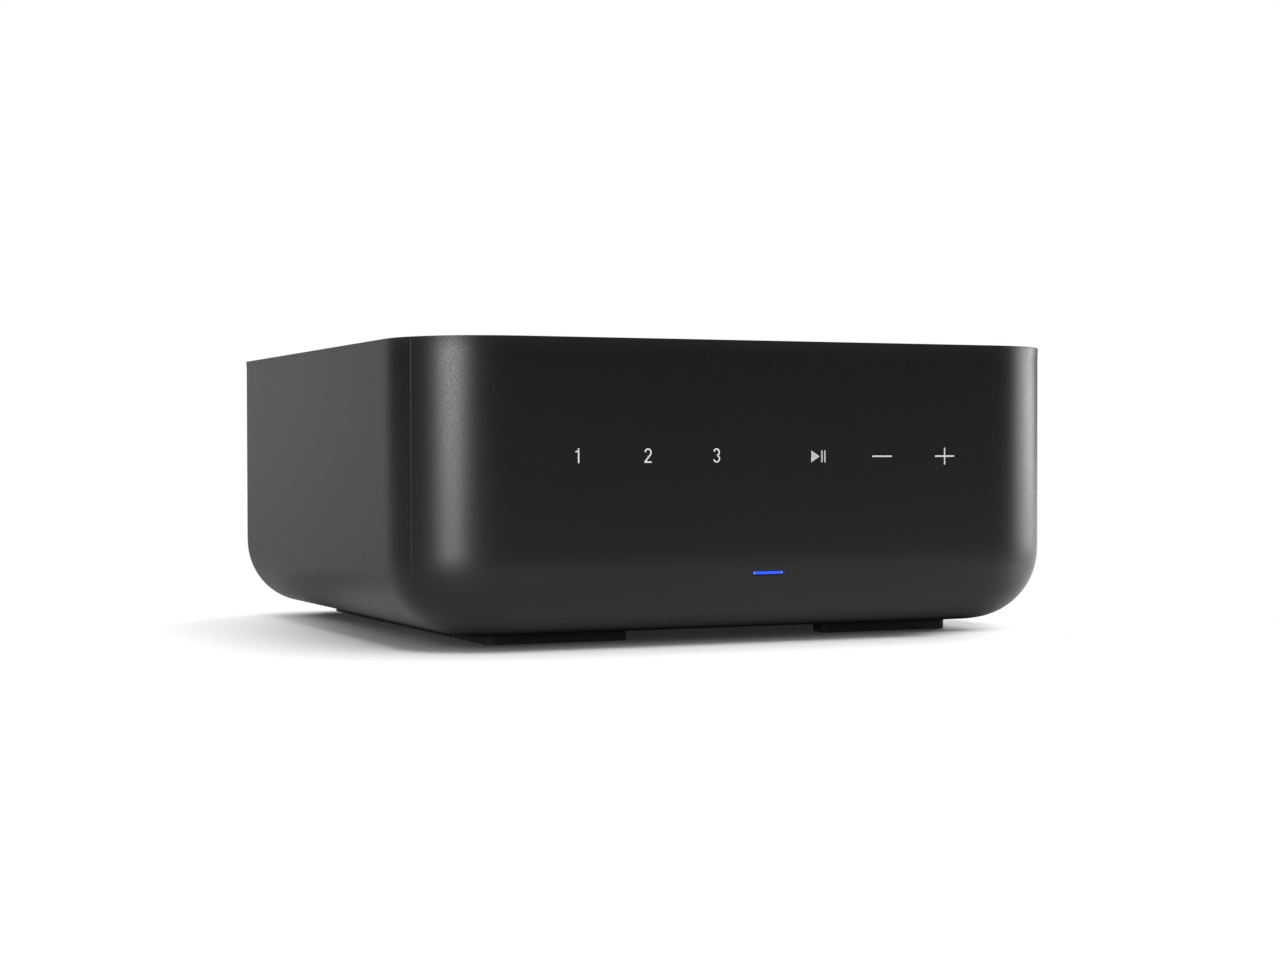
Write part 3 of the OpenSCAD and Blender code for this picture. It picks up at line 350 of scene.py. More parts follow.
def make_piece(name, parts, finish, body="root", replaces=()):
    """A mesh object that rides on a body. Each part is an array of points and a list of face arrays."""
    points, faces, start = [], [], 0
    for part_points, part_faces in parts:
        points.append(part_points)
        faces += [(np.asarray(f) + start).tolist() for f in part_faces]
        start += len(part_points)
    mesh = bpy.data.meshes.new(name)
    mesh.from_pydata(np.concatenate(points).tolist(), [], [f for array in faces for f in array])
    work = bmesh.new()
    work.from_mesh(mesh)
    bmesh.ops.recalc_face_normals(work, faces=work.faces)
    work.to_mesh(mesh)
    work.free()
    mesh.shade_smooth()
    mesh.set_sharp_from_angle(angle=SHARP_ANGLE)
    mesh.materials.append(finish)
    piece = bpy.data.objects.new(name, mesh)
    bpy.context.scene.collection.objects.link(piece)
    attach(piece, body)
    if replaces:
        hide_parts(*replaces)


def stack_rings(rings):
    """A closed solid from an array of stacked rings of points: walls between them and two caps."""
    count, around, _ = rings.shape
    number = np.arange(count * around).reshape(count, around)
    walls = grid_faces(count, around, close_columns=True)
    return rings.reshape(-1, 3), [walls, strip_faces(number[0]), strip_faces(number[-1])]


def quarter_turn(radius, ease, count):
    """A quarter turn from heading +X to heading +Y. Its curvature climbs evenly over the first share of
    its length, holds, and falls evenly at the end. The heading is the running sum of the curvature, and
    the points are the running sums of the heading's cosine and sine, scaled so that the middle lies where
    an arc of the radius has it."""
    t = np.linspace(0.0, 1.0, count)
    rising = t**2 / (2 * ease)
    falling = (1 - ease) - (1 - t) ** 2 / (2 * ease)
    turned = np.where(t < ease, rising, np.where(t > 1 - ease, falling, t - ease / 2))
    heading = turned / (1 - ease) * math.pi / 2
    step = np.stack([np.cos(heading), np.sin(heading)], axis=1)
    points = np.concatenate([np.zeros((1, 2)), np.cumsum((step[1:] + step[:-1]) / 2, axis=0)])
    middle = points[count // 2]
    cut_off = math.hypot(points[-1, 0] - middle[0], middle[1])
    return points * (math.sqrt(2) - 1) * radius / cut_off, heading


def plan_path():
    """Plan of the cabinet's outer wall, from its left back corner round the front to its right back
    corner: the right half is a straight run, a quarter turn and a straight run, and the left half is its
    mirror image. Returns the places and the directions that point inwards."""
    sizes = sizes_of("cabinet")
    low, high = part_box("cabinet_shell")
    turn, heading = quarter_turn(sizes.corner_radius, sizes.ease, CORNER_POINTS)
    reach = turn[-1, 0]
    run = np.linspace(0.0, 1.0, STRAIGHT_POINTS)[1:]
    front = np.stack([run[:-1] * (high.x - reach), np.full(len(run) - 1, low.y)], axis=1)
    corner = turn + (high.x - reach, low.y)
    side = np.stack([np.full(len(run), high.x), low.y + reach + run * (high.y - low.y - reach)], axis=1)
    right = np.concatenate([front, corner, side])
    angle = np.concatenate([np.zeros(len(front)), heading, np.full(len(side), math.pi / 2)])
    places = np.concatenate([right[::-1] * (-1, 1), right])
    angle = np.concatenate([-angle[::-1], angle])
    return places, np.stack([-np.sin(angle), np.cos(angle)], axis=1)


def carry_round(inset, height):
    """A closed solid: a profile of insets and heights carried round the cabinet's plan, with its first
    and last edges filled flat and its back cut off square."""
    places, inward = plan_path()
    level = places[:, None, :] + inset[None, :, None] * inward[:, None, :]
    tall = np.broadcast_to(height[None, :, None], level.shape[:2] + (1,))
    number = np.arange(level.shape[0] * level.shape[1]).reshape(level.shape[:2])
    back = np.concatenate([number[0], number[-1][::-1]])
    ends = [strip_faces(number[:, 0]), strip_faces(number[:, -1]), back[None, :]]
    return np.concatenate([level, tall], axis=2).reshape(-1, 3), [grid_faces(*level.shape[:2]), *ends]


def outer_profile():
    """Outside of the cabinet's wall from the bottom flat to the rim: a quarter turn, a straight wall, and
    a band that leans out by the square of the height within it. Returns insets, heights and headings."""
    sizes = sizes_of("cabinet")
    low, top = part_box("cabinet_shell")[0].z, rim_height()
    turn, heading = quarter_turn(sizes.base_radius, sizes.ease, FILLET_POINTS)
    climb = np.linspace(0.0, 1.0 - sizes.edge / sizes.flare_height, FILLET_POINTS)
    inset = np.concatenate([sizes.flare + turn[-1, 0] - turn[:, 0], sizes.flare * (1 - climb**2)])
    height = np.concatenate([low + turn[:, 1], top + (climb - 1) * sizes.flare_height])
    heading = np.concatenate([heading, np.full(len(climb), math.pi / 2)])
    return inset, height, heading


def rim_height():
    """Height of the cabinet's rim above the table."""
    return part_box("top_cover")[1].z - sizes_of("cabinet").rim_drop


def front_inset(height):
    """Inset of the front wall's outside at a height, read along the outer profile."""
    inset, level, _ = outer_profile()
    return np.interp(height, level, inset)


def round_corners(corners, radii):
    """Closed ring along a right-angled outline: each corner is a quarter circle between its two sides."""
    corners, radii = np.asarray(corners), np.asarray(radii)[:, None]
    ahead = np.roll(corners, -1, axis=0) - corners
    ahead = ahead / np.linalg.norm(ahead, axis=1, keepdims=True)
    behind = np.roll(ahead, 1, axis=0)
    centre = corners + radii * (ahead - behind)
    turn = np.linspace(0.0, math.pi / 2, TURN_POINTS)[None, :, None]
    swing = behind[:, None] * np.sin(turn) - ahead[:, None] * np.cos(turn)
    return (centre[:, None] + radii[:, None] * swing).reshape(-1, 2)


def round_edge(radius):
    """Quarter circle as two arrays: how far it draws in from a wall, and how far it lies below a top."""
    turn = np.linspace(0.0, math.pi / 2, EDGE_POINTS)
    return radius * (1 - np.cos(turn)), radius * (1 - np.sin(turn))


def arc(centre, reach, start, end):
    """Points on an ellipse round a centre from one angle to another, in degrees."""
    angle = np.radians(np.linspace(start, end, ARC_POINTS))
    return np.stack([centre[0] + reach[0] * np.cos(angle), centre[1] + reach[1] * np.sin(angle)], axis=1)


def ribbon(path, width):
    """Outline of a line of even width: the path moved to either side, square to its own direction."""
    path = np.asarray(path, float)
    ahead = np.gradient(path, axis=0)
    ahead /= np.linalg.norm(ahead, axis=1)[:, None]
    across = np.stack([-ahead[:, 1], ahead[:, 0]], axis=1) * width / 2
    return np.concatenate([path + across, (path - across)[::-1]])


def print_on(outline, centre, near, far):
    """Thin closed plate from an outline in the plane of X and Z: two copies of it at two depths along Y."""
    flat = np.asarray(outline, float) + centre
    return stack_rings(np.stack([np.insert(flat, 1, depth, axis=1) for depth in (near, far)]))


# Finishes


def feed(tree, node, inputs):
    """Links a node's inputs to sockets, or sets them to values."""
    for key, value in inputs.items():
        if isinstance(value, bpy.types.NodeSocket):
            tree.links.new(value, node.inputs[key])
        else:
            node.inputs[key].default_value = value


def add(tree, kind, inputs=None, **settings):
    """A new node, with its settings and its inputs."""
    made = tree.nodes.new("ShaderNode" + kind)
    for key, value in settings.items():
        setattr(made, key, value)
    feed(tree, made, inputs or {})
    return made


def maths(tree, operation, *values):
    """A number worked out from one or two others."""
    return add(tree, "Math", dict(enumerate(values)), operation=operation).outputs[0]


def vectors(tree, operation, *values):
    """A vector worked out from one or two others."""
    return add(tree, "VectorMath", dict(enumerate(values)), operation=operation).outputs[0]


def size_of(tree, vector):
    """The length of a vector."""
    return add(tree, "VectorMath", {0: vector}, operation="LENGTH").outputs["Value"]


def mix(tree, factor, first, second):
    """A number between two numbers."""
    return add(tree, "Mix", {"Factor": factor, "A": first, "B": second}).outputs[0]


def ranged(tree, value, start, end, low=0.0, high=1.0, kind="LINEAR"):
    """A number that goes from low to high while a value goes from start to end, along a kind of curve."""
    ends = {"From Min": start, "From Max": end, "To Min": low, "To Max": high}
    return add(tree, "MapRange", {"Value": value, **ends}, interpolation_type=kind).outputs["Result"]


def ramp(tree, value, start, end, low=0.0, high=1.0):
    """A number that goes smoothly from low at one value to high at another."""
    return ranged(tree, value, start, end, low, high, "SMOOTHSTEP")


def between(tree, factor, low=0.0, high=1.0):
    """A number that runs from low to high over the middle of a noise's range."""
    return ranged(tree, factor, *NOISE_RANGE, low, high)


def place(tree, stretch=(1.0, 1.0, 1.0)):
    """The piece's own coordinates in metres, stretched."""
    where = add(tree, "TexCoord").outputs["Object"]
    return add(tree, "Mapping", {"Vector": where, "Scale": stretch}).outputs["Vector"]


def axes(tree):
    """The piece's own X, Y and Z in metres."""
    return add(tree, "SeparateXYZ", {"Vector": place(tree)}).outputs


def grain(tree, size, detail=2.0, stretch=(1.0, 1.0, 1.0)):
    """Noise whose spots are about a size across."""
    noise = add(tree, "TexNoise", {"Vector": place(tree, stretch), "Scale": 1.0 / size, "Detail": detail})
    return noise.outputs["Fac"]


def shades(tree, factor, first, second):
    """A colour between two colours."""
    mixed = add(tree, "Mix", {"Factor": factor, "A": (*first, 1.0), "B": (*second, 1.0)}, data_type="RGBA")
    return mixed.outputs[2]


def tint(value, factor):
    """A colour made lighter or darker by a factor."""
    return tuple(min(1.0, part * factor) for part in value)


def relief(tree, factor, depth, strength):
    """Bumps of a depth from a height."""
    return add(tree, "Bump", {"Height": factor, "Distance": depth, "Strength": strength}).outputs["Normal"]


def start_finish(name, roughness, metallic=0.0, specular=0.5):
    """A new material with one Principled shader, its even values set on the shader itself."""
    material = bpy.data.materials.new(name)
    material.use_nodes = True
    tree = material.node_tree
    shader = tree.nodes["Principled BSDF"]
    feed(tree, shader, {"Roughness": roughness, "Metallic": metallic, "Specular IOR Level": specular})
    return material, tree, shader


def moulded(name, paint, roughness, grain_size=0.00035, depth=0.00001, specular=0.5):
    """Moulded plastic: fine spark grain as bumps and in the gloss, and a broad, faint drift of the colour."""
    material, tree, shader = start_finish(name, roughness, specular=specular)
    fine, broad = grain(tree, grain_size), grain(tree, DRIFT_SIZE, 3.0)
    feed(tree, shader, {
        "Base Color": shades(tree, between(tree, broad), tint(paint, 0.92), tint(paint, 1.08)),
        "Roughness": between(tree, fine, roughness - GRAIN_SPREAD, roughness + GRAIN_SPREAD),
        "Normal": relief(tree, fine, depth, GRAIN_STRENGTH),
    })
    return material


def plated(name, paint, roughness, brush=(1.0, 1.0, 1.0)):
    """Plated or bare metal: fine drawn lines in the gloss and a faint cloudiness in the colour."""
    material, tree, shader = start_finish(name, roughness, metallic=1.0)
    lines, cloud = grain(tree, DRAWN_SIZE, 3.0, brush), grain(tree, CLOUD_SIZE)
    feed(tree, shader, {
        "Base Color": shades(tree, between(tree, cloud), tint(paint, 0.88), paint),
        "Roughness": between(tree, lines, roughness * 0.8, roughness * 1.3),
        "Normal": relief(tree, lines, 0.000002, 0.15),
    })
    return material


def circuit(name, paint):
    """Solder mask over copper: paler lines along the edges of a square cell pattern, raised a little."""
    material, tree, shader = start_finish(name, 0.35)
    pattern = {"distance": "CHEBYCHEV", "feature": "DISTANCE_TO_EDGE"}
    cells = add(tree, "TexVoronoi", {"Vector": place(tree), "Scale": COPPER_SCALE}, **pattern)
    lines = ranged(tree, cells.outputs["Distance"], *COPPER_EDGE, 1.0, 0.0)
    feed(tree, shader, {
        "Base Color": shades(tree, lines, paint, tint(paint, 1.9)),
        "Normal": relief(tree, lines, 0.00003, 0.5),
    })
    return material


def rubber(name, paint):
    """Matt rubber: dusty grain and a soft sheen."""
    material, tree, shader = start_finish(name, 0.8, specular=0.25)
    dust = grain(tree, DUST_SIZE, 4.0)
    feed(tree, shader, {
        "Base Color": shades(tree, between(tree, dust), tint(paint, 0.8), tint(paint, 1.5)),
        "Roughness": between(tree, dust, 0.72, 0.88),
        "Normal": relief(tree, dust, 0.00004, 0.4),
    })
    return material


def printed(name, ink, lit=0.0):
    """Screen-printed ink with a little mottle, which may be given a painted glow: light of its own that
    brightens the print.
    """
    material, tree, shader = start_finish(name, 0.55)
    mottle = between(tree, grain(tree, MOTTLE_SIZE, 3.0))
    feed(tree, shader, {"Base Color": shades(tree, mottle, tint(ink, 0.94), ink)})
    # Painted glow: the print gives off light of its own
    if lit:
        feed(tree, shader, {"Emission Color": WHITE, "Emission Strength": lit})
    return material


def cabinet_finish():
    """Satin black plastic, with a faint blue painted glow: light that the wall itself gives off, falling off
    with the distance from the status light.
    """
    light = sizes_of("light")
    material = moulded("satin_black", sizes_of("cabinet").paint, **SATIN)
    tree = material.node_tree
    where = axes(tree)
    aside = maths(tree, "ABSOLUTE", maths(tree, "SUBTRACT", where["X"], light.shift))
    past_end = maths(tree, "MAXIMUM", maths(tree, "SUBTRACT", aside, light.width / 2), 0.0)
    ahead = maths(tree, "SUBTRACT", where["Y"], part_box("cabinet_shell")[0].y)
    above = maths(tree, "SUBTRACT", where["Z"], light_height())
    offset = add(tree, "CombineXYZ", {"X": past_end, "Y": ahead, "Z": above}).outputs[0]
    reach = light.height / 2, light.glow_reach
    # Painted glow: the wall gives off blue light that fades with the distance from the bar
    feed(tree, tree.nodes["Principled BSDF"], {
        "Emission Color": (*light.paint, 1.0),
        "Emission Strength": ranged(tree, size_of(tree, offset), *reach, light.glow, 0.0, "SMOOTHERSTEP"),
    })
    return material


def light_finish():
    """Clear bar lit from behind: blue light that pales at the bar's two ends."""
    light = sizes_of("light")
    material, tree, shader = start_finish("lit_blue", 0.5, specular=0.2)
    half = light.width / 2
    along = maths(tree, "ABSOLUTE", maths(tree, "SUBTRACT", axes(tree)["X"], light.shift))
    end = ranged(tree, along, half - light.height * END_LENGTH, half, 0.0, END_SHARE)
    feed(tree, shader, {
        "Base Color": (*tint(light.paint, 0.1), 1.0),
        "Emission Color": shades(tree, end, light.paint, END_PAINT),
        "Emission Strength": light.power,
    })
    return material


def light_height():
    """Height of the status light above the table."""
    low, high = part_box("status_led")
    return (low.z + high.z) / 2 + sizes_of("light").lift


def key_height():
    """Height of the touch keys above the table."""
    low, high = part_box("touch_pads")
    return (low.z + high.z) / 2


def paint_nodes(finishes):
    """Gives each shown construction node the finish of its slot, which its first material is named for."""
    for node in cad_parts.values():
        slot = node.material_slots[0].material.name
        if slot in finishes:
            node.material_slots[0].material = finishes[slot]


# Pieces


class MakeCabinet(bpy.types.Operator):
    """Makes the cabinet: its wall's profile carried round its plan, and the fine lines that the mould left"""

    bl_idname = "streamer.make_cabinet"
    bl_label = "Cabinet"

    def execute(self, context):
        sizes = context.scene.streamer_cabinet
        top = rim_height()
        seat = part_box("top_cover")[1].z - context.scene.streamer_cover.thickness
        finish = cabinet_finish()
        inset, height, heading = outer_profile()
        drawn_in, drop = round_edge(sizes.edge)
        edge_inset, edge_height = inset[-1] + drawn_in[1:], top - drop[1:]
        lip_inset = np.array([sizes.rim - sizes.edge / 2, sizes.rim, sizes.rim, sizes.flare + sizes.wall])
        lip_height = np.array([top, top - sizes.edge / 2, seat, seat])
        fillet = slice(0, FILLET_POINTS)
        inner_inset = (inset[fillet] + sizes.wall * np.sin(heading[fillet]))[::-1]
        inner_height = (height[fillet] + sizes.wall * np.cos(heading[fillet]))[::-1]
        shell = carry_round(
            np.concatenate([inset, edge_inset, lip_inset, inner_inset]),
            np.concatenate([height, edge_height, lip_height, inner_height]),
        )
        make_piece("cabinet", [shell], finish, replaces=["cabinet_shell"])
        make_piece("mould_lines", [self.mould_line(1), self.mould_line(-1)], finish)
        return {"FINISHED"}

    def mould_line(self, side):
        """Fine ridge of four-sided section on the front corner. Its distance ahead of the corner's start
        shrinks evenly with the wall's inset, and it lies where the corner's heading has that sine."""
        sizes = sizes_of("cabinet")
        inset, height, profile_heading = outer_profile()
        places, inward = plan_path()
        start = len(places) // 2 + STRAIGHT_POINTS - 2
        corner = slice(start, start + CORNER_POINTS)
        ahead = sizes.line_place - sizes.line_drift * (inset - sizes.flare)
        seen = ahead > 0
        inset, height, profile_heading, ahead = inset[seen], height[seen], profile_heading[seen], ahead[seen]
        from_side = np.arcsin(np.clip(ahead / (sizes.corner_radius - inset), 0, 1))
        heading = math.pi / 2 - from_side
        known = np.arctan2(-inward[corner, 0], inward[corner, 1])
        spot = np.stack([np.interp(heading, known, places[corner, k]) for k in (0, 1)], axis=1)
        inwards = np.stack([-np.sin(heading), np.cos(heading)], axis=1)
        forward = np.stack([np.cos(heading), np.sin(heading)], axis=1)
        rise, fall = np.sin(profile_heading)[:, None], np.cos(profile_heading)[:, None]
        out = np.concatenate([-inwards * rise, -fall], axis=1) * sizes.line_depth
        base = np.concatenate([spot + inset[:, None] * inwards, height[:, None]], axis=1)
        along = np.concatenate([forward, np.zeros((len(forward), 1))], axis=1) * sizes.line_width / 2
        sunk = base - out
        rings = np.stack([sunk + along, base + out, sunk - along, sunk - out], axis=1)
        return stack_rings(rings * (side, 1, 1))


class MakeCover(bpy.types.Operator):
    """Makes the top cover: a plate with a fine round edge, carried round the cabinet's plan inside the rim"""

    bl_idname = "streamer.make_cover"
    bl_label = "Top cover"

    def execute(self, context):
        sizes, cabinet = context.scene.streamer_cover, context.scene.streamer_cabinet
        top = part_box("top_cover")[1].z
        edge = cabinet.rim + sizes.gap
        flat = edge + cabinet.corner_radius * COVER_BAND
        drawn_in, drop = round_edge(sizes.edge)
        inset = np.concatenate([[flat, edge], edge + drawn_in, [edge + sizes.edge * COVER_FLAT, flat]])
        height = np.concatenate([[top - sizes.thickness] * 2, top - drop, [top] * 2])
        finish = moulded("satin_black_cover", sizes.paint, **SATIN)
        make_piece("cover", [carry_round(inset, height)], finish, replaces=["top_cover"])
        return {"FINISHED"}


class MakeFeet(bpy.types.Operator):
    """Makes the two rubber feet: rings of a foot's outline that draw in towards the table"""

    bl_idname = "streamer.make_feet"
    bl_label = "Feet"

    def execute(self, context):
        sizes = context.scene.streamer_feet
        finish = rubber("foot_rubber", sizes.paint)
        climb, drawn_in = round_edge(sizes.edge)
        for node, side in (("left_foot", -1), ("right_foot", 1)):
            low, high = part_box(node)
            level = np.append(low.z + climb, high.z)
            plans = [self.outline(low, high, side, drawn) for drawn in (*drawn_in, 0.0)]
            rings = np.stack([np.insert(plan, 2, z, axis=1) for plan, z in zip(plans, level)])
            make_piece(node + "_rail", [stack_rings(rings)], finish, replaces=[node])
        return {"FINISHED"}

    @staticmethod
    def outline(low, high, side, drawn):
        """Plan of a foot, drawn in all round: a rail at the outer side with a leg inwards at each end."""
        sizes = sizes_of("feet")
        inner, outer = (low.x, high.x) if side > 0 else (high.x, low.x)
        pocket = outer - side * (sizes.rail - drawn)
        inner, outer = inner + side * drawn, outer - side * drawn
        front, back = low.y + drawn, high.y - drawn
        front_leg, back_leg = low.y + sizes.leg - drawn, high.y - sizes.leg + drawn
        corners = [
            (inner, front), (outer, front), (outer, back), (inner, back),
            (inner, back_leg), (pocket, back_leg), (pocket, front_leg), (inner, front_leg),
        ]
        end, corner = sizes.end_radius - drawn, sizes.corner_radius - drawn
        hollow = sizes.pocket_radius + drawn
        return round_corners(corners, [end, corner, corner, end, end, hollow, hollow, end])


class MakeKeyMarks(bpy.types.Operator):
    """Makes the marks of the touch keys: the numbers 1 to 3, play and pause, minus and plus, as thin print"""

    bl_idname = "streamer.make_key_marks"
    bl_label = "Key marks"

    def execute(self, context):
        sizes = context.scene.streamer_marks
        # The numbers and the signs get a painted glow on top of their ink
        numbers = printed("number_ink_and_painted_glow", sizes.ink, sizes.digit_painted_glow)
        signs = printed("sign_ink_and_painted_glow", sizes.ink, sizes.sign_painted_glow)
        play = printed("play_ink", tint(sizes.ink, PLAY_SHADE))
        marks = {
            "one": (self.one(), numbers),
            "two": (self.two(), numbers),
            "three": (self.three(), numbers),
            "play_pause": (self.play_and_pause(), play),
            "minus": (self.minus(), signs),
            "plus": (self.plus(), signs),
        }
        lift = np.repeat([sizes.digit_lift, 0.0], 3)
        places = np.array([-2, -1, 0, 0, 1, 2]) * sizes.pitch + np.repeat([-1, 1], 3) * sizes.first
        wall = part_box("cabinet_shell")[0].y + front_inset(key_height())
        near, far = wall - sizes.proud, wall + sizes.proud
        for x, up, (name, (lines, finish)) in zip(places, lift, marks.items()):
            parts = [print_on(line, (x, key_height() + up), near, far) for line in lines]
            make_piece("mark_" + name, parts, finish)
        return {"FINISHED"}

    def digit(self):
        """Half the width and half the height of a number's middle line, and its stroke."""
        sizes = sizes_of("marks")
        stroke = sizes.digit_stroke
        return (sizes.digit_width - stroke) / 2, (sizes.digit_height - stroke) / 2, stroke

    def bow(self, x, y, wide, high, start, end):
        """Part of an ellipse, its middle and reach given as shares of half a number's width and height."""
        half, tall, _ = self.digit()
        return arc((x * half, y * tall), (wide * half, high * tall), start, end)

    def one(self):
        """A short flag that bends up into an upright stem."""
        half, tall, stroke = self.digit()
        stem, top = STEM_PLACE * half, tall + stroke / 2
        flag = ribbon(self.bow(*FLAG_ARC), stroke * FLAG_STROKE)
        return [ribbon([(stem, -top), (stem, top)], stroke), flag]

    def two(self):
        """An arch, a straight slant that runs on from it, and a foot."""
        half, tall, stroke = self.digit()
        slant = np.array([[-half, -tall + stroke * SLANT_LIFT]])
        foot = ribbon([(-half - stroke / 2, -tall), (half + stroke / 2, -tall)], stroke)
        return [ribbon(np.concatenate([self.bow(*ARCH_ARC), slant]), stroke), foot]

    def three(self):
        """Two bowls that meet in the middle."""
        stroke = sizes_of("marks").digit_stroke
        return [ribbon(self.bow(*bowl), stroke) for bowl in (UPPER_BOWL, LOWER_BOWL)]

    def play_and_pause(self):
        """A triangle that points right, and two bars."""
        sizes = sizes_of("marks")
        tall = sizes.play_height / 2
        left = PLAY_START * sizes.play_width
        tip = left + sizes.play_width
        first = tip + sizes.bar_pitch * BAR_START
        triangle = [(left, -tall), (tip, 0.0), (tip, 0.0), (left, tall)]
        bars = [[(x, -tall), (x, tall)] for x in (first, first + sizes.bar_pitch)]
        return [triangle] + [ribbon(bar, sizes.bar_width) for bar in bars]

    def minus(self):
        """One level bar."""
        sizes = sizes_of("marks")
        return [ribbon([(-sizes.sign_width / 2, 0), (sizes.sign_width / 2, 0)], sizes.sign_stroke)]

    def plus(self):
        """A level bar, and two upright ones that meet it."""
        sizes = sizes_of("marks")
        reach, stroke = sizes.sign_height / 2, sizes.sign_stroke
        bars = [[(0, side * stroke / 2), (0, side * reach)] for side in (1, -1)]
        return self.minus() + [ribbon(bar, stroke * UPRIGHT_STROKE) for bar in bars]


class MakeLight(bpy.types.Operator):
    """Makes the status light: a bar with round ends that follows the wall, and round it a dark ring that is
    painted shade for the gap
    """

    bl_idname = "streamer.make_light"
    bl_label = "Status light"

    def execute(self, context):
        sizes = context.scene.streamer_light
        out = -sizes.seam
        edge, face = SEAM_PROUD
        gap = [(-sizes.depth, out), (0.0, out), (edge, out), (face, 0.0)]
        bar = [(-sizes.depth, 0.0), (0.0, 0.0), *BAR_STEPS]
        # Painted shade: a dark, faintly blue ring where the gap round the bar lies in shadow
        dark = moulded("light_gap", SEAM_PAINTED_SHADE, 0.9, specular=0.05)
        make_piece("light_seam_painted_shade", [self.bar(gap, sizes.drop)], dark)
        make_piece("light_bar", [self.bar(bar, 0.0)], light_finish(), replaces=["light_pipe"])
        return {"FINISHED"}

    def bar(self, steps, drop):
        """Rings of a bar with round ends. Each step gives how far a ring stands out and is drawn in."""
        sizes = sizes_of("light")
        front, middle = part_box("cabinet_shell")[0].y, light_height() - drop
        rings = []
        for proud, drawn_in in steps:
            half, reach = sizes.height / 2 - drawn_in, sizes.width / 2 - drawn_in
            left, right = sizes.shift - reach, sizes.shift + reach
            low, high = middle - half, middle + half
            corners = [(right, high), (left, high), (left, low), (right, low)]
            outline = round_corners(corners, [half * BAR_ROUND] * 4)
            depth = front + front_inset(outline[:, 1]) - proud
            rings.append(np.insert(outline, 1, depth, axis=1))
        return stack_rings(np.stack(rings))


class MakeRear(bpy.types.Operator):
    """Finishes the rear panel, its sockets, its button and its screws, and makes the print on the panel"""

    bl_idname = "streamer.make_rear"
    bl_label = "Rear"

    def execute(self, context):
        paint_nodes({
            "panel_black": moulded("panel_paint", context.scene.streamer_panel.paint, 0.55, 0.0005, 0.00002),
            "black_screw": plated("black_zinc", (0.03, 0.03, 0.032), 0.38),
            "socket_black": moulded("socket_plastic", (0.012, 0.012, 0.0125), 0.45, 0.0004),
            "socket_metal": plated("tinned_sheet", (0.62, 0.62, 0.63), 0.28, (1.0, 1.0, 6.0)),
            "tongue_white": moulded("tongue_plastic", (0.72, 0.72, 0.7), 0.45, 0.0004),
            "emitter_red": moulded("red_window", (0.35, 0.01, 0.01), 0.2, 0.0004),
            "shutter_grey": moulded("shutter_plastic", (0.02, 0.02, 0.021), 0.5, 0.0003),
            "sleeve_nickel": plated("nickel", (0.72, 0.69, 0.62), 0.2, (1.0, 0.15, 1.0)),
            "insert_white": moulded("white_insert", (0.74, 0.73, 0.7), 0.35, 0.0004),
            "insert_red": moulded("red_insert", (0.4, 0.012, 0.014), 0.35, 0.0004),
            "insert_orange": moulded("orange_insert", (0.75, 0.19, 0.012), 0.35, 0.0004),
            "button_grey": moulded("button_plastic", (0.03, 0.03, 0.031), 0.45, 0.0004),
            "contact_gold": plated("gold_plate", (0.8, 0.55, 0.2), 0.22),
            "bright_screw": plated("bright_zinc", (0.62, 0.62, 0.62), 0.3),
        })
        self.print_panel()
        return {"FINISHED"}

    def print_panel(self):
        """Thin print: a bracket over each pair of phono sockets and the sign for direct current."""
        sizes = sizes_of("panel")
        low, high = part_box("left_channel_inserts")
        radius = (high.z - low.z) / 2
        top = high.z + BRACKET_LIFT
        end = top - BRACKET_DROP
        lines = []
        for x in (low.x + radius, high.x - radius):
            left, right = x - radius, x + radius
            lines += [[(left, end), (left, top)], [(right, top), (right, end)]]
            lines += [[(left - sizes.stroke / 2, top), (right + sizes.stroke / 2, top)]]
        low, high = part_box("power_inlet")
        middle, level = (low.x + high.x) / 2, high.z + SIGN_LIFT
        bars = [(middle, level + SIGN_GAP, SIGN_WIDTH / 2)]
        bars += [(middle + k * DASH_PITCH, level, DASH_WIDTH / 2) for k in (-1, 0, 1)]
        lines += [[(x - half, z), (x + half, z)] for x, z, half in bars]
        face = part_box("rear_panel")[1].y
        near, far = face - PRINT_PROUD, face + PRINT_PROUD
        parts = [print_on(ribbon(line, sizes.stroke), (0, 0), near, far) for line in lines]
        make_piece("panel_print", parts, printed("panel_ink", sizes.ink))


class MakeInside(bpy.types.Operator):
    """Finishes the boards and the parts inside the cabinet"""

    bl_idname = "streamer.make_inside"
    bl_label = "Inside"

    def execute(self, context):
        paint_nodes({
            "board_green": circuit("green_board", (0.015, 0.085, 0.035)),
            "board_blue": circuit("blue_board", (0.015, 0.045, 0.1)),
            "chip_black": moulded("chip_plastic", (0.015, 0.015, 0.016), 0.6, 0.0003),
            "ferrite_grey": moulded("ferrite", (0.05, 0.05, 0.052), 0.7, 0.0005, 0.00003),
            "can_steel": plated("tinned_can", (0.6, 0.6, 0.6), 0.3),
            "capacitor_sleeve": moulded("capacitor_sleeve", (0.03, 0.04, 0.08), 0.35),
            "sink_aluminium": plated("anodised", (0.42, 0.43, 0.44), 0.4, (1.0, 0.1, 1.0)),
            "aerial_film": plated("copper_film", (0.72, 0.4, 0.25), 0.35),
            "lead_black": moulded("lead_jacket", (0.015, 0.015, 0.015), 0.5),
            "pad_foam": rubber("pad_foam", (0.03, 0.03, 0.033)),
            "lamp_white": moulded("lamp_plastic", (0.7, 0.7, 0.66), 0.3),
            "ribbon_white": moulded("ribbon_film", (0.66, 0.64, 0.58), 0.35),
        })
        return {"FINISHED"}


# Stage


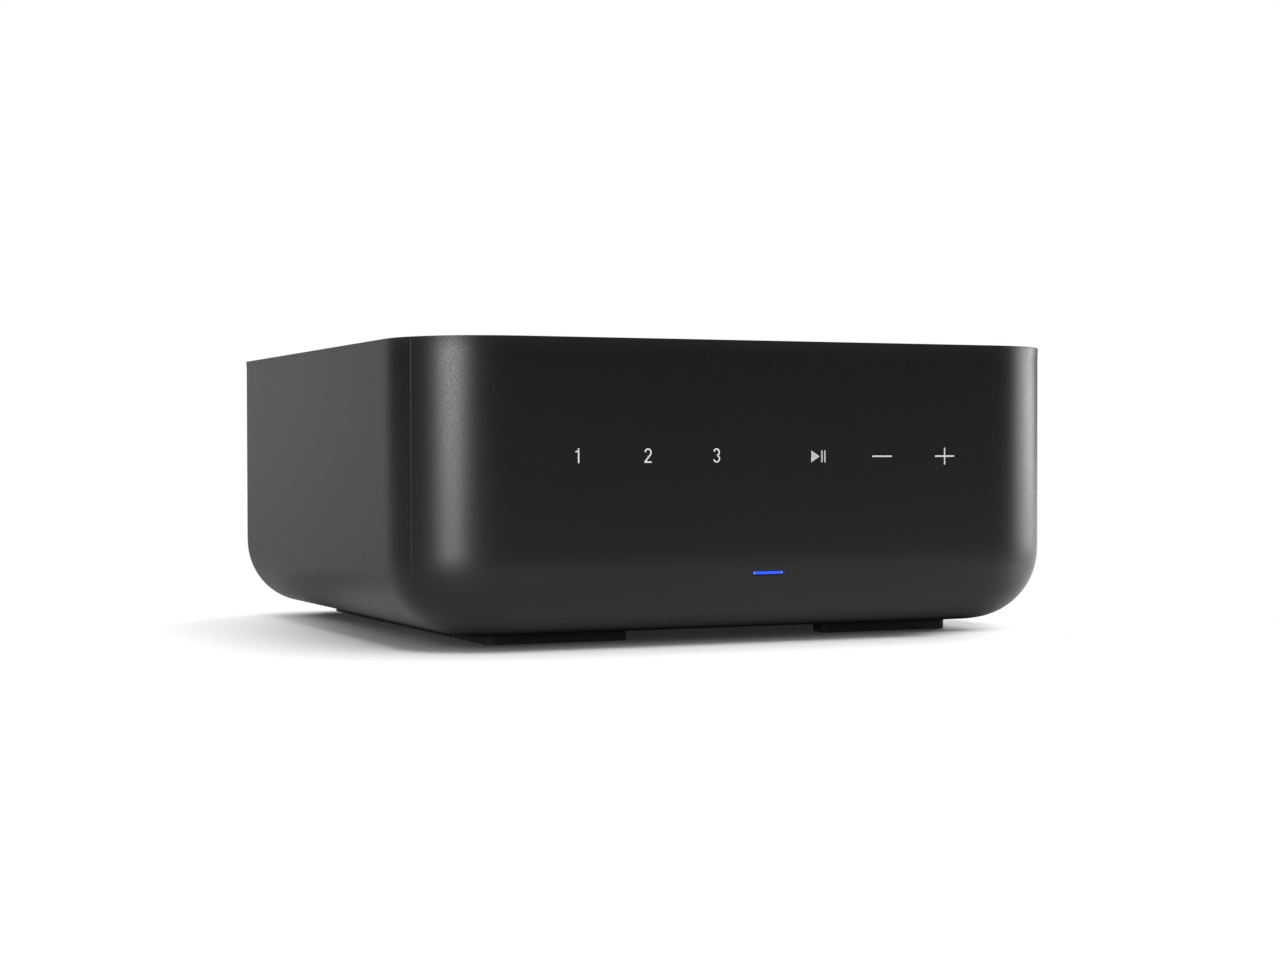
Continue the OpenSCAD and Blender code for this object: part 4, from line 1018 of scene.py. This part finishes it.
class MakeStage(bpy.types.Operator):
    """Makes the floor, the even surroundings, the lamps and the camera"""

    bl_idname = "streamer.make_stage"
    bl_label = "Stage"

    def execute(self, context):
        self.make_floor()
        self.make_world()
        self.make_lamps()
        self.make_camera()
        context.scene.view_settings.view_transform = "Standard"
        return {"FINISHED"}

    def make_floor(self):
        """A flat disc: rings whose radius grows with the square of their number."""
        sizes = sizes_of("stage")
        radius = sizes.floor_radius * np.linspace(0.0, 1.0, FLOOR_RINGS + 1)[1:, None] ** 2
        angle = np.linspace(0.0, 2 * math.pi, FLOOR_POINTS, endpoint=False)
        level = np.zeros((FLOOR_RINGS, FLOOR_POINTS))
        rings = np.stack([radius * np.cos(angle), radius * np.sin(angle), level], axis=-1)
        mesh = bpy.data.meshes.new("floor")
        faces = grid_faces(FLOOR_RINGS, FLOOR_POINTS, close_columns=True).tolist()
        faces.append(list(range(FLOOR_POINTS))[::-1])
        mesh.from_pydata(rings.reshape(-1, 3).tolist(), [], faces)
        mesh.flip_normals()
        mesh.materials.append(self.floor_finish())
        floor = bpy.data.objects.new("floor", mesh)
        bpy.context.scene.collection.objects.link(floor)

    def floor_finish(self):
        """White paper. Near the part it keeps the shadow, thinned out in places by painted light, and far
        away it fades into the white of the surroundings. Gloss sees a painted reflection of the floor: pale,
        with painted shade under the part and painted patches beside it."""
        sizes = sizes_of("stage")
        material, tree, shader = start_finish("floor_paper", 0.9, specular=0.0)
        direct, glossy = self.rays(tree)
        far = ramp(tree, size_of(tree, place(tree)), sizes.floor_near, sizes.floor_near * 2)
        # Painted light: where the shadow is thinned, the floor is lifted towards white
        bare = maths(tree, "MAXIMUM", far, maths(tree, "MULTIPLY", direct, self.thinned(tree)))
        # Gloss sees the floor as painted reflection, not as it is lit
        gloss = ranged(tree, far, 0.0, 1.0, NEAR_GLOSS, FAR_GLOSS)
        clear = self.clear_of_part(tree, *SHADE_DEPTHS)
        for factor in (clear, *self.patches(tree, far)):
            gloss = maths(tree, "MULTIPLY", gloss, factor)
        lift = ranged(tree, bare, 0.0, 1.0, FLOOR_LIFT, 1.0)
        unlit = maths(tree, "MAXIMUM", bare, glossy)
        feed(tree, shader, {
            "Base Color": shades(tree, unlit, sizes.floor_paint, BLACK),
            "Emission Color": WHITE,
            "Emission Strength": mix(tree, direct, mix(tree, glossy, 0.0, gloss), lift),
        })
        return material

    @staticmethod
    def rays(tree):
        """Whether the camera sees a thing, itself or through what is clear, and whether gloss sees it."""
        path = add(tree, "LightPath").outputs
        direct = maths(tree, "MAXIMUM", path["Is Camera Ray"], path["Is Transmission Ray"])
        return direct, path["Is Glossy Ray"]

    @staticmethod
    def clear_of_part(tree, start, end):
        """How far a place on the floor is clear of the cabinet's footprint: nothing at one depth under it
        and all at another. The distance is that from a rectangle drawn in by the corner radius, with a
        band of that radius round it."""
        radius = sizes_of("cabinet").corner_radius
        low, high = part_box("cabinet_shell")
        core = (high - low) / 2 - Vector((radius, radius, 0.0))
        away = vectors(tree, "SUBTRACT", place(tree), (low + high) / 2)
        away = vectors(tree, "ABSOLUTE", vectors(tree, "MULTIPLY", away, (1.0, 1.0, 0.0)))
        away = vectors(tree, "MAXIMUM", vectors(tree, "SUBTRACT", away, core), (0.0, 0.0, 0.0))
        return ramp(tree, size_of(tree, away), radius - start, radius - end)

    def thinned(self, tree):
        """How far painted light thins the shadow out: beside the cabinet, more towards the back, and under
        the rounding of its right front corner."""
        radius = sizes_of("cabinet").corner_radius
        low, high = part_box("cabinet_shell")
        where = axes(tree)
        beside = self.clear_of_part(tree, *BESIDE_DEPTHS)
        beside = ramp(tree, where["Y"], *BESIDE_RANGE, 0.0, beside)
        corner = self.clear_of_part(tree, *CORNER_DEPTHS)
        for axis, side, radii in (("X", high.x, CORNER_FROM_SIDE), ("Y", low.y, CORNER_FROM_FRONT)):
            start, end = (side + count * radius for count in radii)
            corner = ramp(tree, where[axis], start, end, 0.0, corner)
        return maths(tree, "MAXIMUM", beside, corner)

    def patches(self, tree, far):
        """Painted reflection: factors on the floor that gloss sees, brighter just ahead of the cabinet and
        darker far ahead of it, brighter at its right, and darker in the shadow at its left."""
        low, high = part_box("cabinet_shell")
        ahead = [("Y", low.y, AHEAD_OF_FRONT)]
        right = [("X", high.x, RIGHT_OF_SIDE), ("Y", low.y, RIGHT_BEHIND_FRONT)]
        left = [("X", low.x, LEFT_INSIDE), ("X", low.x, LEFT_OUTSIDE)]
        left += [("Y", low.y, LEFT_BEHIND_FRONT), ("Y", high.y, LEFT_BEFORE_BACK)]
        gloss_ahead = ranged(tree, far, 0.0, 1.0, GLOSS_AHEAD, GLOSS_FAR_AHEAD)
        return [
            self.patch(tree, ahead, gloss_ahead),
            self.patch(tree, right, GLOSS_RIGHT),
            self.patch(tree, left, GLOSS_LEFT),
        ]

    @staticmethod
    def patch(tree, edges, bright):
        """A factor that is one outside a patch of the floor and bright inside it, with smooth edges."""
        where = axes(tree)
        inside = 1.0
        for axis, side, (start, end) in edges:
            inside = ramp(tree, where[axis], side + start, side + end, 0.0, inside)
        return ranged(tree, inside, 0.0, 1.0, 1.0, bright)

    def make_world(self):
        """Even grey light. What sees the surroundings directly sees white, and gloss sees white behind
        the part and dark ahead of it."""
        sizes = sizes_of("stage")
        world = bpy.data.worlds.new("studio")
        bpy.context.scene.world = world
        world.use_nodes = True
        tree = world.node_tree
        direct, glossy = self.rays(tree)
        direction = add(tree, "TexCoord").outputs["Generated"]
        backwards = add(tree, "SeparateXYZ", {"Vector": direction}).outputs["Y"]
        behind = ranged(tree, backwards, *BACK_RANGE, FRONT_GLOSS, BACK_GLOSS, "SMOOTHERSTEP")
        shown = mix(tree, direct, mix(tree, glossy, sizes.world, behind), 1.0)
        feed(tree, tree.nodes["Background"], {"Color": WHITE, "Strength": shown})

    def make_lamps(self):
        """A broad lamp overhead, one at the left front and a low, wide one at the right that don't light
        the floor, and one behind that lights the floor alone and thins its shadow at the part's right."""
        sizes = sizes_of("stage")
        floor = bpy.data.objects["floor"]
        unlit = bpy.data.collections.new("not_lit_from_the_sides")
        unlit.objects.link(floor)
        unlit.collection_objects[0].light_linking.link_state = "EXCLUDE"
        alone = bpy.data.collections.new("lit_from_behind")
        alone.objects.link(floor)
        self.lamp("key_lamp", *KEY_LAMP, sizes.key)
        self.lamp("left_lamp", *LEFT_LAMP, sizes.left, unlit)
        self.lamp("right_lamp", *RIGHT_LAMP, sizes.right, unlit)
        self.lamp("rear_lamp", *REAR_LAMP, sizes.rear, alone)

    def lamp(self, name, at, height, size, watts, lit=None):
        """An oval lamp that faces a height above the floor's middle and lights one collection or all."""
        data = bpy.data.lights.new(name, "AREA")
        data.shape = "ELLIPSE"
        data.size, data.size_y = size
        data.energy = watts
        made = bpy.data.objects.new(name, data)
        made.location = at
        towards = Vector((0.0, 0.0, height)) - Vector(at)
        made.rotation_euler = towards.to_track_quat("-Z", "Y").to_euler()
        bpy.context.scene.collection.objects.link(made)
        if lit is not None:
            made.light_linking.receiver_collection = lit

    def make_camera(self):
        """The camera stands low to the left of the front, a little below the cover."""
        data = bpy.data.cameras.new("camera")
        data.lens, data.sensor_width = LENS, SENSOR
        data.shift_x, data.shift_y = SHIFT
        data.clip_start, data.clip_end = CLIP
        camera = bpy.data.objects.new("camera", data)
        ahead = Vector(CAMERA_AHEAD).normalized()
        right = ahead.cross(Vector(CAMERA_UP)).normalized()
        turned = Matrix((right, right.cross(ahead), -ahead)).transposed()
        camera.matrix_world = Matrix.Translation(Vector(CAMERA_PLACE) * MM) @ turned.to_4x4()
        bpy.context.scene.collection.objects.link(camera)
        bpy.context.scene.camera = camera


STEPS = [MakeCabinet, MakeCover, MakeFeet, MakeKeyMarks, MakeLight, MakeRear, MakeInside, MakeStage]


class StreamerPanel(bpy.types.Panel):
    """Lists the pieces of the streamer and their sizes"""

    bl_idname = "VIEW3D_PT_streamer"
    bl_label = "Music streamer"
    bl_space_type = "VIEW_3D"
    bl_region_type = "UI"
    bl_category = "Streamer"

    def draw(self, context):
        for step in STEPS:
            self.layout.operator(step.bl_idname)
        for name, group in GROUPS.items():
            box = self.layout.box()
            box.label(text=group.__doc__)
            for key in group.__annotations__:
                box.prop(getattr(context.scene, name), key)


def register():
    for made in (*GROUPS.values(), *STEPS, StreamerPanel):
        bpy.utils.register_class(made)
    for name, group in GROUPS.items():
        setattr(bpy.types.Scene, name, PointerProperty(type=group))


def unregister():
    for name in GROUPS:
        delattr(bpy.types.Scene, name)
    for made in reversed((*GROUPS.values(), *STEPS, StreamerPanel)):
        bpy.utils.unregister_class(made)


def main():
    register()
    bpy.ops.streamer.make_cabinet()
    bpy.ops.streamer.make_cover()
    bpy.ops.streamer.make_feet()
    bpy.ops.streamer.make_key_marks()
    bpy.ops.streamer.make_light()
    bpy.ops.streamer.make_rear()
    bpy.ops.streamer.make_inside()
    bpy.ops.streamer.make_stage()


if __name__ == "__main__":
    main()
